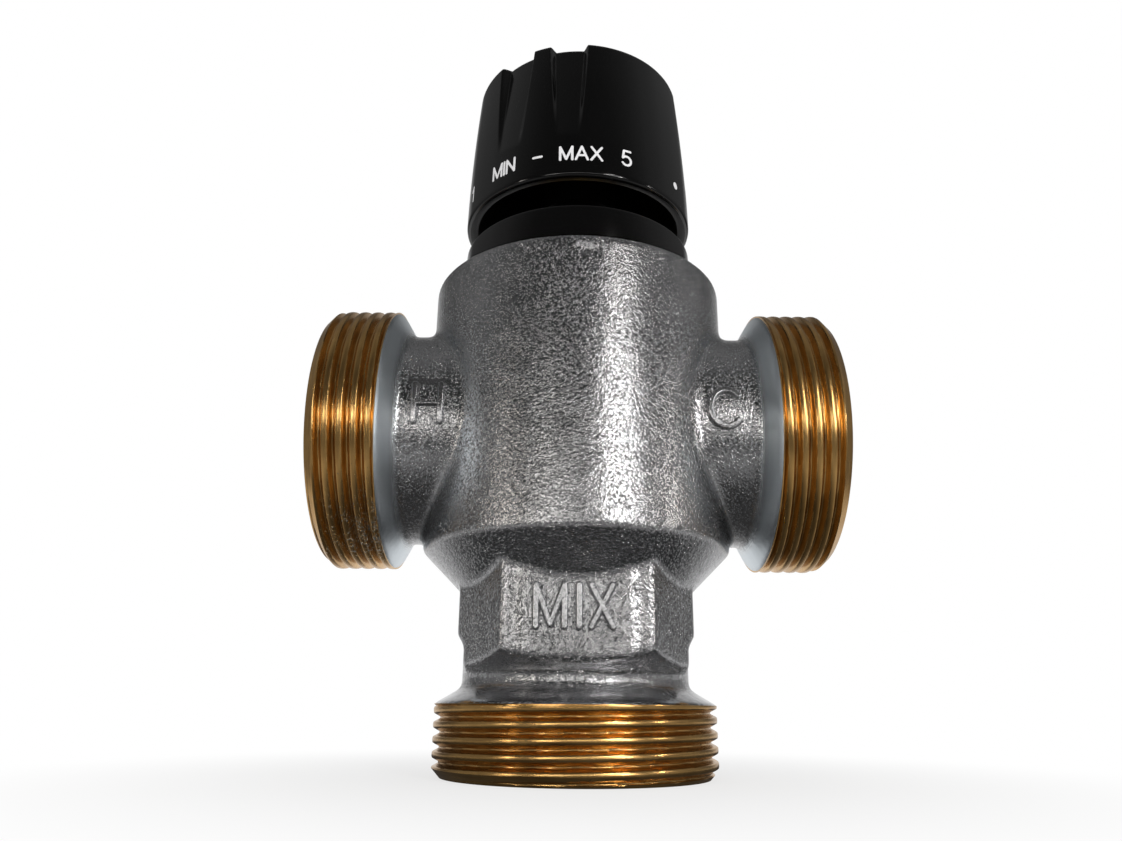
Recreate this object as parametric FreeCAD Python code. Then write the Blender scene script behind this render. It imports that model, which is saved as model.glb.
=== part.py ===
import FreeCAD, Part
import math
import os

# Three way mixing valve, millimetres, +Z up, outlet face on z = 0.
# Hot inlet on -X, cold inlet on +X, raised panel on the -Y front.

# outside of the cast body
FACE_TO_AXIS = 44.5          # side port face to the valve axis
PORT_Z = 58.5                # side port axis above the outlet face
THREAD_R = 23.9              # crest radius of a G 1 1/2 male end
THREAD_LEN = 11.5
THREAD_CHAMFER = 1.2
FLARE_LEN = 2.6              # cone from the thread back to the neck
NECK_R = 19.4
BARREL_R = 27.3
BARREL_FOOT_Z = 37.1
RIM_ROUND = 0.8

# wrench section between the barrel cone and the outlet neck
WRENCH_AF = 41.0             # front to back
WRENCH_SIDE = 39.9           # across the two trimmed side corners
WRENCH_SIDE_LOW = 37.2
WRENCH_SIDE_Z = 20.5
WRENCH_LOW_Z = 16.6
WRENCH_CHAMFER = 1.68        # radius gained per mm of height
WRENCH_RISE = 5.0            # runs this far up into the barrel cone
PANEL_WIDTH = 17.2
PANEL_RAISE = 0.4

# inside of the body
BORE_R = 16.0                # DN 32 port bores
SHELF_Z = 14.0
SHELF_THICK = 2.0
SHELF_STEP = 0.9
GUIDE_BORE_R = 16.4
SEAT_SHELF_Z = 36.0
SEAT_BORE_R = 17.2
FLOOR_Z = 40.0
CHAMBER_R = 23.3
WEB_THICK = 11.0             # wall between the hot and the cold chamber
WEB_BORE_R = 17.25
PORT_WALL_X = 25.5           # the side bores stop at this wall
WINDOW_R = 14.5
WINDOW_EDGE = 0.5
HEAD_BORE_R = 20.6
HEAD_BORE_LEN = 7.5

# clearances
RUNNING = 0.05               # radial, sliding and turning fits
SEATED = 0.03                # radial, parts seated in a bore
FACE_GAP = 0.02              # axial, faces that bear on each other
OPEN_GAP = 0.4               # parts that never touch

# shutter with the wax capsule
SEAT_TOP_Z = 43.0
SEAT_IN_R = 14.2
SEAT_LIP_R = 16.9
LIFT = 1.5                   # rest gap at each seat
SHUTTER_H = 23.0
SHUTTER_WALL = 2.6
HUB_R = 8.4
HUB_H = 6.0
HUB_BORE_R = 6.4
SPOKE_W = 3.0
SPOKE_H = 4.0
SPOKES = 3
CAPSULE_R = 7.0
CAPSULE_END_Z = 20.0
CAPSULE_FLANGE_R = 10.6
CAPSULE_FLANGE_H = 2.0
CAPSULE_STEM_R = 4.2
CAPSULE_STEM_H = 5.0
PIN_R = 1.95
PIN_LEN = 21.0
PIN_SPACE = 6.0              # free depth under the pin

# outlet guide
GUIDE_RING_H = 3.0
GUIDE_RING_WALL = 1.9
GUIDE_TUBE_H = 12.0
GUIDE_TUBE_WALL = 1.1
GUIDE_PLATE_R = 11.2

# springs
RETURN_WIRE_R = 0.9
RETURN_COIL_R = 9.5
RETURN_TURNS = 5.5
OVER_WIRE_R = 0.75
OVER_COIL_R = 8.2
OVER_TURNS = 3.5

# bonnet and adjusting gear
BONNET_SKIRT_R = 17.0
BONNET_BORE_R = 12.8
KEY_R = 14.6                 # key slots in the bonnet bore
KEY_W = 3.0
KEYS = 3
BONNET_AF = 32.0
BOSS_R = 8.0
BOSS_H = 10.0
CARRIAGE_WALL = 3.0
CARRIAGE_LOW_Z = 70.2
CARRIAGE_BORE_R = 10.4
CUP_Z = 72.2
CUP_H = 2.4
SPRING_SPACE = 9.4           # height of the overtravel spring's room
CARRIAGE_TOP_Z = CUP_Z + CUP_H + SPRING_SPACE + CARRIAGE_WALL
HEADROOM = 4.0               # bonnet ceiling above the carriage at rest
CEILING_Z = CARRIAGE_TOP_Z + HEADROOM
CEILING_RISE = 3.8           # ceiling above the barrel top
BARREL_TOP_Z = CEILING_Z - CEILING_RISE
CEILING_THICK = 3.0
BONNET_TOP_Z = CEILING_Z + CEILING_THICK
BOSS_TOP_Z = BONNET_TOP_Z + BOSS_H
CUP_BOSS_R = 3.6
CUP_BOSS_H = 1.4
CUP_COLLAR_H = 1.0           # centres the spring
CUP_COLLAR_WALL = 1.0
CUP_PLATE = 1.6
SPRING_GAP = 0.4
OVERTRAVEL = 2.5
TRAVEL = 1.334               # carriage travel for the whole dial
RING_H = 1.0                 # snap rings
RING_BITE = 0.6
RING_MOUTH = 3.0
RING_REACH = 1.6             # snap ring beyond its shaft or bore

# spindle
SHAFT_R = 4.5
COLLAR_R = 7.4
COLLAR_H = 2.0
WASHER_H = 0.9
SCREW_END_R = 4.0            # threaded lower end
SCREW_END_LEN = 6.5
HEX_AF = 7.6
HEX_RISE = 2.0               # hexagon foot above the boss
HEX_FOOT_Z = BOSS_TOP_Z + HEX_RISE

# O-rings
SMALL_O_R = 0.9              # cord radius
LARGE_O_R = 1.0
GROOVE_SPARE = 0.15          # depth left under a cord
SHAFT_RING_INSET = 1.6       # lower spindle ring above the bonnet top
SHAFT_RING_DROP = 3.4        # upper spindle ring below the boss top

# facets of round wire and cord
WIRE_SIDES = 6
COIL_STEPS = 14              # per turn
RING_STEPS = 10.0

# black shroud under the knob
SHROUD_R = 22.1
SHROUD_H = 8.8
SHROUD_TOP_Z = BARREL_TOP_Z + SHROUD_H
SHROUD_PLATE = 1.8
SHROUD_WALL = 3.4

# knob
KNOB_GAP = 5.7               # from the shroud to the knob
KNOB_LOW_Z = SHROUD_TOP_Z + KNOB_GAP
KNOB_H = 30.9
KNOB_TOP_Z = KNOB_LOW_Z + KNOB_H
KNOB_R = 22.4
KNOB_TOP_R = 20.6
KNOB_CORE_TOP_R = 18.9
GRIP_H = 22.0                # the grips fade out this far down
KNOB_CORE_FOOT_Z = KNOB_TOP_Z - GRIP_H
CORE_TAIL = 4.0
KNOB_WALL = 2.2
KNOB_PLATE_DROP = 7.0        # underside of the top plate
KNOB_PLATE_Z = KNOB_TOP_Z - KNOB_PLATE_DROP
KNOB_EDGE = 0.9
KNOB_HUB_R = 7.6
KNOB_WEB_DROP = 12.6
KNOB_WEB_Z = KNOB_TOP_Z - KNOB_WEB_DROP
HEX_SPARE = 1.0              # free depth over the hexagon
HEX_TOP_Z = KNOB_WEB_Z - HEX_SPARE
KNOB_WEB_H = 4.0
SCREW_HEAD_R = 3.9
SCREW_HEAD_H = 2.6
SCREW_R = 2.0
SCREW_REACH = 10.0
SCREW_WASHER_R = 4.9
SCREW_WASHER_H = 0.6
SCREW_WELL_R = 5.6
CAP_R = 12.0
CAP_H = 2.4
CAP_SPIGOT_R = 8.0
CAP_SPIGOT_H = 1.3
GRIP_GROUPS = 3
# valleys of one grip group: middle and half width at the top, degrees
GRIP_VALLEYS = ((-5.9, 9.3), (-36.9, 10.6))
GRIP_FOOT_SHARE = 0.6        # width left at the foot of a valley
GRIP_REACH = 6.0             # the valley cutter beyond both surfaces

AXIS_X = FreeCAD.Vector(1, 0, 0)
AXIS_Z = FreeCAD.Vector(0, 0, 1)
ORIGIN = FreeCAD.Vector(0, 0, 0)


def turned(points):
    """Solid of revolution about Z from (radius, z) corners."""
    corners = [FreeCAD.Vector(r, 0, z) for r, z in points]
    corners.append(corners[0])
    face = Part.Face(Part.makePolygon(corners))
    return face.revolve(ORIGIN, AXIS_Z, 360)


def rod(r, z0, z1):
    return Part.makeCylinder(r, z1 - z0, FreeCAD.Vector(0, 0, z0))


def tube(r_out, r_in, z0, z1):
    return rod(r_out, z0, z1).cut(rod(r_in, z0 - 1, z1 + 1))


def section_points(r_mid, r_wire, angle, z):
    """Corners of a round wire's section at one place along it."""
    corners = []
    for k in range(WIRE_SIDES):
        a = 2 * math.pi * k / WIRE_SIDES
        r = r_mid + r_wire * math.cos(a)
        height = z + r_wire * math.sin(a)
        corners.append(FreeCAD.Vector(r * math.cos(angle), r * math.sin(angle), height))
    return corners


def face_on(corners):
    return Part.Face(Part.makePolygon(corners + [corners[0]]))


def cord_ring(r_mid, r_cord, z):
    """Closed ring of round cord, in flat facets."""
    steps = max(20, int(RING_STEPS * r_mid ** 0.5))
    rings = []
    for i in range(steps):
        rings.append(section_points(r_mid, r_cord, 2 * math.pi * i / steps, z))
    faces = []
    for i in range(steps):
        first = rings[i]
        second = rings[(i + 1) % steps]
        for k in range(WIRE_SIDES):
            n = (k + 1) % WIRE_SIDES
            faces.append(face_on([first[k], second[k], second[n], first[n]]))
    return Part.makeSolid(Part.makeShell(faces))


def block(x0, x1, y0, y1, z0, z1):
    return Part.makeBox(x1 - x0, y1 - y0, z1 - z0, FreeCAD.Vector(x0, y0, z0))


def prism(points, z0, z1):
    corners = [FreeCAD.Vector(x, y, z0) for x, y in points]
    corners.append(corners[0])
    face = Part.Face(Part.makePolygon(corners))
    return face.extrude(FreeCAD.Vector(0, 0, z1 - z0))


def hexagon(across_flats, z0, z1, first=0.0):
    r = across_flats / math.sqrt(3)
    angles = [math.radians(first + 60 * i) for i in range(6)]
    return prism([(r * math.cos(a), r * math.sin(a)) for a in angles], z0, z1)


def turned_about_z(shape, degrees):
    copy = shape.copy()
    copy.rotate(ORIGIN, AXIS_Z, degrees)
    return copy


def fused(shapes):
    whole = shapes[0]
    for shape in shapes[1:]:
        whole = whole.fuse(shape)
    return whole.removeSplitter()


def coil(r_mid, r_wire, z0, z1, turns):
    """Round wire spring between two heights, in flat facets."""
    steps = int(round(turns * COIL_STEPS))
    height = z1 - z0 - 2 * r_wire
    rings = []
    for i in range(steps + 1):
        share = i / steps
        z = z0 + r_wire + height * share
        rings.append(section_points(r_mid, r_wire, 2 * math.pi * turns * share, z))
    faces = [face_on(rings[0]), face_on(rings[-1])]
    for first, second in zip(rings, rings[1:]):
        for k in range(WIRE_SIDES):
            n = (k + 1) % WIRE_SIDES
            faces.append(face_on([first[k], second[k], second[n]]))
            faces.append(face_on([first[k], second[n], first[n]]))
    return Part.makeSolid(Part.makeShell(faces))


def split_ring(r_out, r_in, z0, z1, gap):
    ring = tube(r_out, r_in, z0, z1)
    return ring.cut(block(0, r_out + 1, -gap / 2, gap / 2, z0 - 1, z1 + 1))


def port_end(length):
    """Male end with its flare and neck, outlet face on z = 0."""
    flare_z = THREAD_LEN + FLARE_LEN
    return turned([
        (0, 0),
        (THREAD_R - THREAD_CHAMFER, 0),
        (THREAD_R, THREAD_CHAMFER),
        (THREAD_R, THREAD_LEN),
        (NECK_R, flare_z),
        (NECK_R, length),
        (0, length),
    ])


def wrench_section():
    top_z = BARREL_FOOT_Z - (BARREL_R - NECK_R) + WRENCH_RISE
    shape = hexagon(WRENCH_AF, WRENCH_LOW_Z, top_z)
    slope_z = top_z - WRENCH_LOW_Z
    cone_r = NECK_R + slope_z * WRENCH_CHAMFER
    shape = shape.common(turned([
        (0, WRENCH_LOW_Z), (NECK_R, WRENCH_LOW_Z), (cone_r, top_z), (0, top_z)]))
    low = WRENCH_SIDE_LOW / 2
    wide = WRENCH_SIDE / 2
    trim_z = WRENCH_SIDE_Z + 2.0
    half = WRENCH_AF / 2 + 1
    outline = [(-low, WRENCH_LOW_Z - 1), (low, WRENCH_LOW_Z - 1), (low, WRENCH_SIDE_Z),
               (wide, trim_z), (wide, top_z + 1), (-wide, top_z + 1), (-wide, trim_z),
               (-low, WRENCH_SIDE_Z)]
    corners = [FreeCAD.Vector(x, -half, z) for x, z in outline]
    corners.append(corners[0])
    face = Part.Face(Part.makePolygon(corners))
    shape = shape.common(face.extrude(FreeCAD.Vector(0, 2 * half, 0)))
    flat_y = WRENCH_AF / 2
    foot_z = WRENCH_LOW_Z + (flat_y - NECK_R) / WRENCH_CHAMFER
    panel = block(-PANEL_WIDTH / 2, PANEL_WIDTH / 2, -flat_y - PANEL_RAISE, -flat_y + 3,
                  foot_z + 0.9, top_z)
    return fused([shape, panel])


def body_outside():
    cone_foot_z = BARREL_FOOT_Z - (BARREL_R - NECK_R)
    barrel = turned([
        (0, cone_foot_z - 1),
        (NECK_R, cone_foot_z - 1),
        (NECK_R, cone_foot_z),
        (BARREL_R, BARREL_FOOT_Z),
        (BARREL_R, BARREL_TOP_Z - RIM_ROUND),
        (BARREL_R - RIM_ROUND, BARREL_TOP_Z),
        (0, BARREL_TOP_Z),
    ])
    side = port_end(FACE_TO_AXIS)
    side.rotate(ORIGIN, FreeCAD.Vector(0, 1, 0), -90)
    cold = side.copy()
    cold.translate(FreeCAD.Vector(FACE_TO_AXIS, 0, PORT_Z))
    hot = turned_about_z(side, 180)
    hot.translate(FreeCAD.Vector(-FACE_TO_AXIS, 0, PORT_Z))
    outlet = port_end(cone_foot_z)
    return fused([barrel, cold, hot, outlet, wrench_section()])


def side_bore(sign, z0, z1):
    """Blind side bore with its window into one chamber."""
    bore = Part.makeCylinder(BORE_R, FACE_TO_AXIS + 1 - PORT_WALL_X,
                             FreeCAD.Vector(sign * PORT_WALL_X, 0, PORT_Z), AXIS_X * sign)
    length = PORT_WALL_X - CHAMBER_R * 0.72 + 1
    window = Part.makeCylinder(WINDOW_R, length,
                               FreeCAD.Vector(sign * (PORT_WALL_X + 1), 0, PORT_Z),
                               AXIS_X * -sign)
    side = PORT_WALL_X + 2
    slot = block(min(0, sign * side), max(0, sign * side), -WINDOW_R, WINDOW_R, z0, z1)
    return bore.fuse(window.common(slot))


def make_body():
    web_low = PORT_Z - WEB_THICK / 2
    web_top = PORT_Z + WEB_THICK / 2
    head_z = BARREL_TOP_Z - HEAD_BORE_LEN
    roof_z = head_z - (CHAMBER_R - HEAD_BORE_R)
    inside = turned([
        (0, -1),
        (BORE_R, -1),
        (BORE_R, SHELF_Z - SHELF_THICK),
        (BORE_R - SHELF_STEP, SHELF_Z - SHELF_THICK),
        (BORE_R - SHELF_STEP, SHELF_Z),
        (GUIDE_BORE_R, SHELF_Z),
        (GUIDE_BORE_R, SEAT_SHELF_Z),
        (SEAT_BORE_R, SEAT_SHELF_Z),
        (SEAT_BORE_R, FLOOR_Z),
        (CHAMBER_R, FLOOR_Z),
        (CHAMBER_R, web_low),
        (WEB_BORE_R, web_low),
        (WEB_BORE_R, web_top),
        (CHAMBER_R, web_top),
        (CHAMBER_R, roof_z),
        (HEAD_BORE_R, head_z),
        (HEAD_BORE_R, BARREL_TOP_Z + 1),
        (0, BARREL_TOP_Z + 1),
    ])
    reach = math.sqrt(WINDOW_R ** 2 - (WEB_THICK / 2 + WINDOW_EDGE) ** 2) * 0.6
    cold = side_bore(1, web_top + WINDOW_EDGE, web_top + WINDOW_EDGE + reach)
    hot = side_bore(-1, web_low - WINDOW_EDGE - reach, web_low - WINDOW_EDGE)
    return body_outside().cut(inside).cut(cold).cut(hot)


def make_lower_seat():
    r = SEAT_BORE_R - SEATED
    low = SEAT_SHELF_Z + FACE_GAP
    groove = groove_at(r, (low + FLOOR_Z) / 2, LARGE_O_R)
    ring = turned([
        (SEAT_IN_R, low),
        (r, low),
        (r, FLOOR_Z),
        (SEAT_LIP_R, FLOOR_Z),
        (SEAT_LIP_R, SEAT_TOP_Z),
        (SEAT_IN_R, SEAT_TOP_Z),
    ])
    return ring.cut(groove)


def groove_depth(cord_r):
    return 2 * cord_r + GROOVE_SPARE


def groove_at(r_wall, z, cord_r):
    """Ring shaped cutter for an O-ring in an outside wall."""
    half = cord_r + 0.15
    return tube(r_wall + 1, r_wall - groove_depth(cord_r), z - half, z + half)


def o_ring_in(r_bore, z, cord_r):
    """O-ring whose outside touches a bore with a light running gap."""
    return cord_ring(r_bore - FACE_GAP - cord_r, cord_r, z)


def make_seat_o_ring():
    z = (SEAT_SHELF_Z + FACE_GAP + FLOOR_Z) / 2
    return o_ring_in(SEAT_BORE_R, z, LARGE_O_R)


def make_outlet_guide():
    low = SHELF_Z + FACE_GAP
    top = low + GUIDE_RING_H
    r = GUIDE_BORE_R - SEATED
    rim_in = r - GUIDE_RING_WALL
    bore = CAPSULE_R + RUNNING
    tube_r = bore + GUIDE_TUBE_WALL
    rim = tube(r, rim_in, low, top)
    plate = rod(GUIDE_PLATE_R, low, top)
    pillar = rod(tube_r, low, low + GUIDE_TUBE_H)
    arms = []
    for i in range(SPOKES):
        arm = block(CAPSULE_R + 0.5, rim_in + 0.5, -SPOKE_W / 2, SPOKE_W / 2, low, top)
        arms.append(turned_about_z(arm, 90 + i * 360 / SPOKES))
    whole = fused([rim, plate, pillar] + arms)
    return whole.cut(rod(bore, low - 1, low + GUIDE_TUBE_H + 1))


def shutter_low_z():
    return SEAT_TOP_Z + LIFT


def hub_low_z():
    return shutter_low_z() + (SHUTTER_H - HUB_H) / 2 - 1.0


def make_shutter():
    low = shutter_low_z()
    top = low + SHUTTER_H
    r = WEB_BORE_R - RUNNING
    sleeve = tube(r, r - SHUTTER_WALL, low, top)
    hub_z = hub_low_z()
    hub = rod(HUB_R, hub_z, hub_z + HUB_H)
    lift = (HUB_H - SPOKE_H) / 2
    arms = []
    for i in range(SPOKES):
        arm = block(HUB_BORE_R + 0.5, r - 0.6, -SPOKE_W / 2, SPOKE_W / 2,
                    hub_z + lift, hub_z + lift + SPOKE_H)
        arms.append(turned_about_z(arm, 30 + i * 360 / SPOKES))
    whole = fused([sleeve, hub] + arms)
    whole = whole.cut(rod(HUB_BORE_R + RUNNING, hub_z - 1, hub_z + HUB_H + 1))
    return whole.cut(groove_at(r, PORT_Z, SMALL_O_R))


def make_shutter_o_ring():
    return o_ring_in(WEB_BORE_R, PORT_Z, SMALL_O_R)


def pin_top_z():
    return CUP_Z - CUP_BOSS_H


def make_wax_capsule():
    flange_top = hub_low_z() - FACE_GAP
    flange_low = flange_top - CAPSULE_FLANGE_H
    neck_top = hub_low_z() + HUB_H + RING_H + 2.0
    stem_top = neck_top + CAPSULE_STEM_H
    solid = turned([
        (0, CAPSULE_END_Z),
        (CAPSULE_R - 1.5, CAPSULE_END_Z),
        (CAPSULE_R, CAPSULE_END_Z + 1.5),
        (CAPSULE_R, flange_low),
        (CAPSULE_FLANGE_R, flange_low),
        (CAPSULE_FLANGE_R, flange_top),
        (HUB_BORE_R, flange_top),
        (HUB_BORE_R, neck_top),
        (CAPSULE_STEM_R, neck_top),
        (CAPSULE_STEM_R, stem_top - 0.6),
        (CAPSULE_STEM_R - 0.6, stem_top),
        (0, stem_top),
    ])
    floor_z = pin_top_z() - PIN_LEN - PIN_SPACE
    solid = solid.cut(rod(PIN_R + RUNNING, floor_z, stem_top + 1))
    z0, z1 = clip_span()
    return solid.cut(tube(HUB_BORE_R + 1, HUB_BORE_R - RING_BITE, z0 - 0.05, z1 + 0.05))


def clip_span():
    low = hub_low_z() + HUB_H + 0.1
    return low, low + RING_H


def make_capsule_clip():
    z0, z1 = clip_span()
    return split_ring(HUB_BORE_R + 1.6, HUB_BORE_R - RING_BITE + SEATED, z0, z1, 3.0)


def make_capsule_pin():
    top = pin_top_z() - FACE_GAP
    pin = rod(PIN_R, top - PIN_LEN, top)
    return pin.makeChamfer(0.3, [pin.Edges[0]])


def make_return_spring():
    low = SHELF_Z + FACE_GAP + GUIDE_RING_H + FACE_GAP
    top = hub_low_z() - FACE_GAP - CAPSULE_FLANGE_H - FACE_GAP
    return coil(RETURN_COIL_R, RETURN_WIRE_R, low, top, RETURN_TURNS)


def bonnet_low_z():
    return shutter_low_z() + SHUTTER_H + LIFT


def bonnet_ring_z():
    return BARREL_TOP_Z - HEAD_BORE_LEN + 2.2


def make_bonnet():
    low = bonnet_low_z()
    thread_r = HEAD_BORE_R - SEATED
    thread_low = BARREL_TOP_Z - HEAD_BORE_LEN + 0.4
    shoulder = thread_low - (thread_r - BONNET_SKIRT_R) * 0.5
    outside = turned([
        (0, low),
        (BONNET_SKIRT_R - 0.5, low),
        (BONNET_SKIRT_R, low + 0.5),
        (BONNET_SKIRT_R, shoulder),
        (thread_r, thread_low),
        (thread_r, BARREL_TOP_Z),
        (0, BARREL_TOP_Z),
    ])
    head = hexagon(BONNET_AF, BARREL_TOP_Z - 1, BONNET_TOP_Z)
    boss = turned([
        (0, BONNET_TOP_Z - 1),
        (BOSS_R, BONNET_TOP_Z - 1),
        (BOSS_R, BOSS_TOP_Z - 0.6),
        (BOSS_R - 0.6, BOSS_TOP_Z),
        (0, BOSS_TOP_Z),
    ])
    shape = fused([outside, head, boss])
    shape = shape.cut(rod(BONNET_BORE_R, low - 1, CEILING_Z))
    for i in range(KEYS):
        slot = block(BONNET_BORE_R - 1, KEY_R, -KEY_W / 2 - RUNNING, KEY_W / 2 + RUNNING,
                     low - 1, CARRIAGE_TOP_Z + 0.6)
        shape = shape.cut(turned_about_z(slot, 90 + i * 360 / KEYS))
    shape = shape.cut(rod(SHAFT_R + RUNNING, CEILING_Z - 1, BOSS_TOP_Z + 1))
    return shape.cut(groove_at(thread_r, bonnet_ring_z(), SMALL_O_R))


def make_bonnet_o_ring():
    return o_ring_in(HEAD_BORE_R, bonnet_ring_z(), SMALL_O_R)


def make_carriage():
    r = BONNET_BORE_R - RUNNING
    shell = rod(r, CARRIAGE_LOW_Z, CARRIAGE_TOP_Z)
    keys = []
    for i in range(KEYS):
        key = block(r - 1, KEY_R - OPEN_GAP, -KEY_W / 2, KEY_W / 2,
                    bonnet_low_z() + TRAVEL + 1.0, CARRIAGE_TOP_Z)
        keys.append(turned_about_z(key, 90 + i * 360 / KEYS))
    shell = fused([shell] + keys)
    shell = shell.cut(rod(CARRIAGE_BORE_R, CARRIAGE_LOW_Z - 1, CARRIAGE_TOP_Z - CARRIAGE_WALL))
    shell = shell.cut(rod(SCREW_END_R + RUNNING, CARRIAGE_LOW_Z, CARRIAGE_TOP_Z + 1))
    z0, z1 = cup_ring_span()
    return shell.cut(tube(CARRIAGE_BORE_R + RING_BITE, 1, z0 - 0.05, z1 + 0.05))


def cup_ring_span():
    top = CUP_Z - FACE_GAP
    return top - RING_H, top


def make_cup_ring():
    z0, z1 = cup_ring_span()
    return split_ring(
        CARRIAGE_BORE_R + RING_BITE - SEATED, CARRIAGE_BORE_R - RING_REACH, z0, z1, RING_MOUTH)


def make_spring_cup():
    top = CUP_Z + CUP_H
    collar_r = OVER_COIL_R - OVER_WIRE_R - SPRING_GAP
    return turned([
        (0, pin_top_z()),
        (CUP_BOSS_R, pin_top_z()),
        (CUP_BOSS_R, CUP_Z),
        (CARRIAGE_BORE_R - RUNNING, CUP_Z),
        (CARRIAGE_BORE_R - RUNNING, top),
        (collar_r, top),
        (collar_r, top + CUP_COLLAR_H),
        (collar_r - CUP_COLLAR_WALL, top + CUP_COLLAR_H),
        (collar_r - CUP_COLLAR_WALL, CUP_Z + CUP_PLATE),
        (0, CUP_Z + CUP_PLATE),
    ])


def make_overtravel_spring():
    low = CUP_Z + CUP_H + FACE_GAP
    top = CARRIAGE_TOP_Z - CARRIAGE_WALL - FACE_GAP
    return coil(OVER_COIL_R, OVER_WIRE_R, low, top, OVER_TURNS)


def spindle_collar_top():
    return CEILING_Z - FACE_GAP - WASHER_H - FACE_GAP


def shaft_ring_heights():
    return BONNET_TOP_Z + SHAFT_RING_INSET, BOSS_TOP_Z - SHAFT_RING_DROP


def make_spindle():
    collar_top = spindle_collar_top()
    collar_low = collar_top - COLLAR_H
    low = collar_low - SCREW_END_LEN
    turned_part = turned([
        (0, low),
        (SCREW_END_R - 0.6, low),
        (SCREW_END_R, low + 0.6),
        (SCREW_END_R, collar_low),
        (COLLAR_R, collar_low),
        (COLLAR_R, collar_top),
        (SHAFT_R, collar_top),
        (SHAFT_R, HEX_FOOT_Z),
        (0, HEX_FOOT_Z),
    ])
    spindle = fused([turned_part, hexagon(HEX_AF, HEX_FOOT_Z - 1, HEX_TOP_Z)])
    screw_floor = KNOB_WEB_Z - SCREW_REACH - 1.0
    spindle = spindle.cut(rod(SCREW_R + SEATED, screw_floor, HEX_TOP_Z + 1))
    for z in shaft_ring_heights():
        spindle = spindle.cut(groove_at(SHAFT_R, z, SMALL_O_R))
    z0, z1 = circlip_span()
    return spindle.cut(tube(SHAFT_R + 1, SHAFT_R - RING_BITE, z0 - 0.05, z1 + 0.05))


def make_spindle_o_rings():
    rings = [o_ring_in(SHAFT_R + RUNNING, z, SMALL_O_R) for z in shaft_ring_heights()]
    return Part.makeCompound(rings)


def circlip_span():
    low = BOSS_TOP_Z + 0.1
    return low, low + RING_H


def make_spindle_circlip():
    z0, z1 = circlip_span()
    return split_ring(SHAFT_R + 1.8, SHAFT_R - RING_BITE + SEATED, z0, z1, 2.6)


def make_thrust_washer():
    top = CEILING_Z - FACE_GAP
    return tube(COLLAR_R, SHAFT_R + 0.1, top - WASHER_H, top)


def make_shroud():
    low = BARREL_TOP_Z + FACE_GAP
    plate_z = SHROUD_TOP_Z - SHROUD_PLATE
    outer = turned([
        (0, low),
        (SHROUD_R, low),
        (SHROUD_R, SHROUD_TOP_Z - 0.6),
        (SHROUD_R - 0.6, SHROUD_TOP_Z),
        (0, SHROUD_TOP_Z),
    ])
    outer = outer.cut(rod(SHROUD_R - SHROUD_WALL, low - 1, plate_z))
    return outer.cut(rod(BOSS_R + OPEN_GAP, low, SHROUD_TOP_Z + 1))


def knob_outline_r(z):
    """Outer radius of the knob, a shallow curve that leans in to the top."""
    share = (z - KNOB_LOW_Z) / (KNOB_TOP_Z - KNOB_LOW_Z)
    return KNOB_R - (KNOB_R - KNOB_TOP_R) * share ** 1.6


def knob_rings(count=4):
    span = KNOB_TOP_Z - KNOB_EDGE - KNOB_LOW_Z - 0.6
    heights = [KNOB_LOW_Z + 0.6 + span * i / (count - 1) for i in range(count)]
    return [(knob_outline_r(z), z) for z in heights]


def grip_wedge(middle, half_top, half_foot):
    """Wedge that clears one grip valley, narrower at its foot."""
    sections = []
    for z, half in ((KNOB_CORE_FOOT_Z, half_foot), (KNOB_TOP_Z + 1, half_top)):
        a0 = math.radians(middle - half - 90)
        a1 = math.radians(middle + half - 90)
        far = KNOB_R + GRIP_REACH
        near = KNOB_CORE_TOP_R - GRIP_REACH
        ends = [(near, a0), (far, a0), (far, a1), (near, a1)]
        corners = [FreeCAD.Vector(r * math.cos(a), r * math.sin(a), z) for r, a in ends]
        corners.append(corners[0])
        sections.append(Part.makePolygon(corners))
    return Part.makeLoft(sections, True, True)


def knob_outside():
    edge = KNOB_EDGE
    crest = turned(
        [(0, KNOB_LOW_Z), (KNOB_R - 0.6, KNOB_LOW_Z)] + knob_rings()
        + [(KNOB_TOP_R - edge, KNOB_TOP_Z), (0, KNOB_TOP_Z)])
    foot_r = knob_outline_r(KNOB_CORE_FOOT_Z) + 0.05
    core = turned([
        (0, KNOB_CORE_FOOT_Z - CORE_TAIL),
        (foot_r, KNOB_CORE_FOOT_Z - CORE_TAIL),
        (foot_r, KNOB_CORE_FOOT_Z),
        (KNOB_CORE_TOP_R, KNOB_TOP_Z - edge),
        (KNOB_CORE_TOP_R - edge, KNOB_TOP_Z),
        (0, KNOB_TOP_Z),
    ])
    wedges = []
    for group in range(GRIP_GROUPS):
        for middle, half in GRIP_VALLEYS:
            angle = middle + group * 360 / GRIP_GROUPS
            wedges.append(grip_wedge(angle, half, half * GRIP_FOOT_SHARE))
    for wedge in wedges:
        crest = crest.cut(wedge.cut(core))
    return crest


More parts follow.
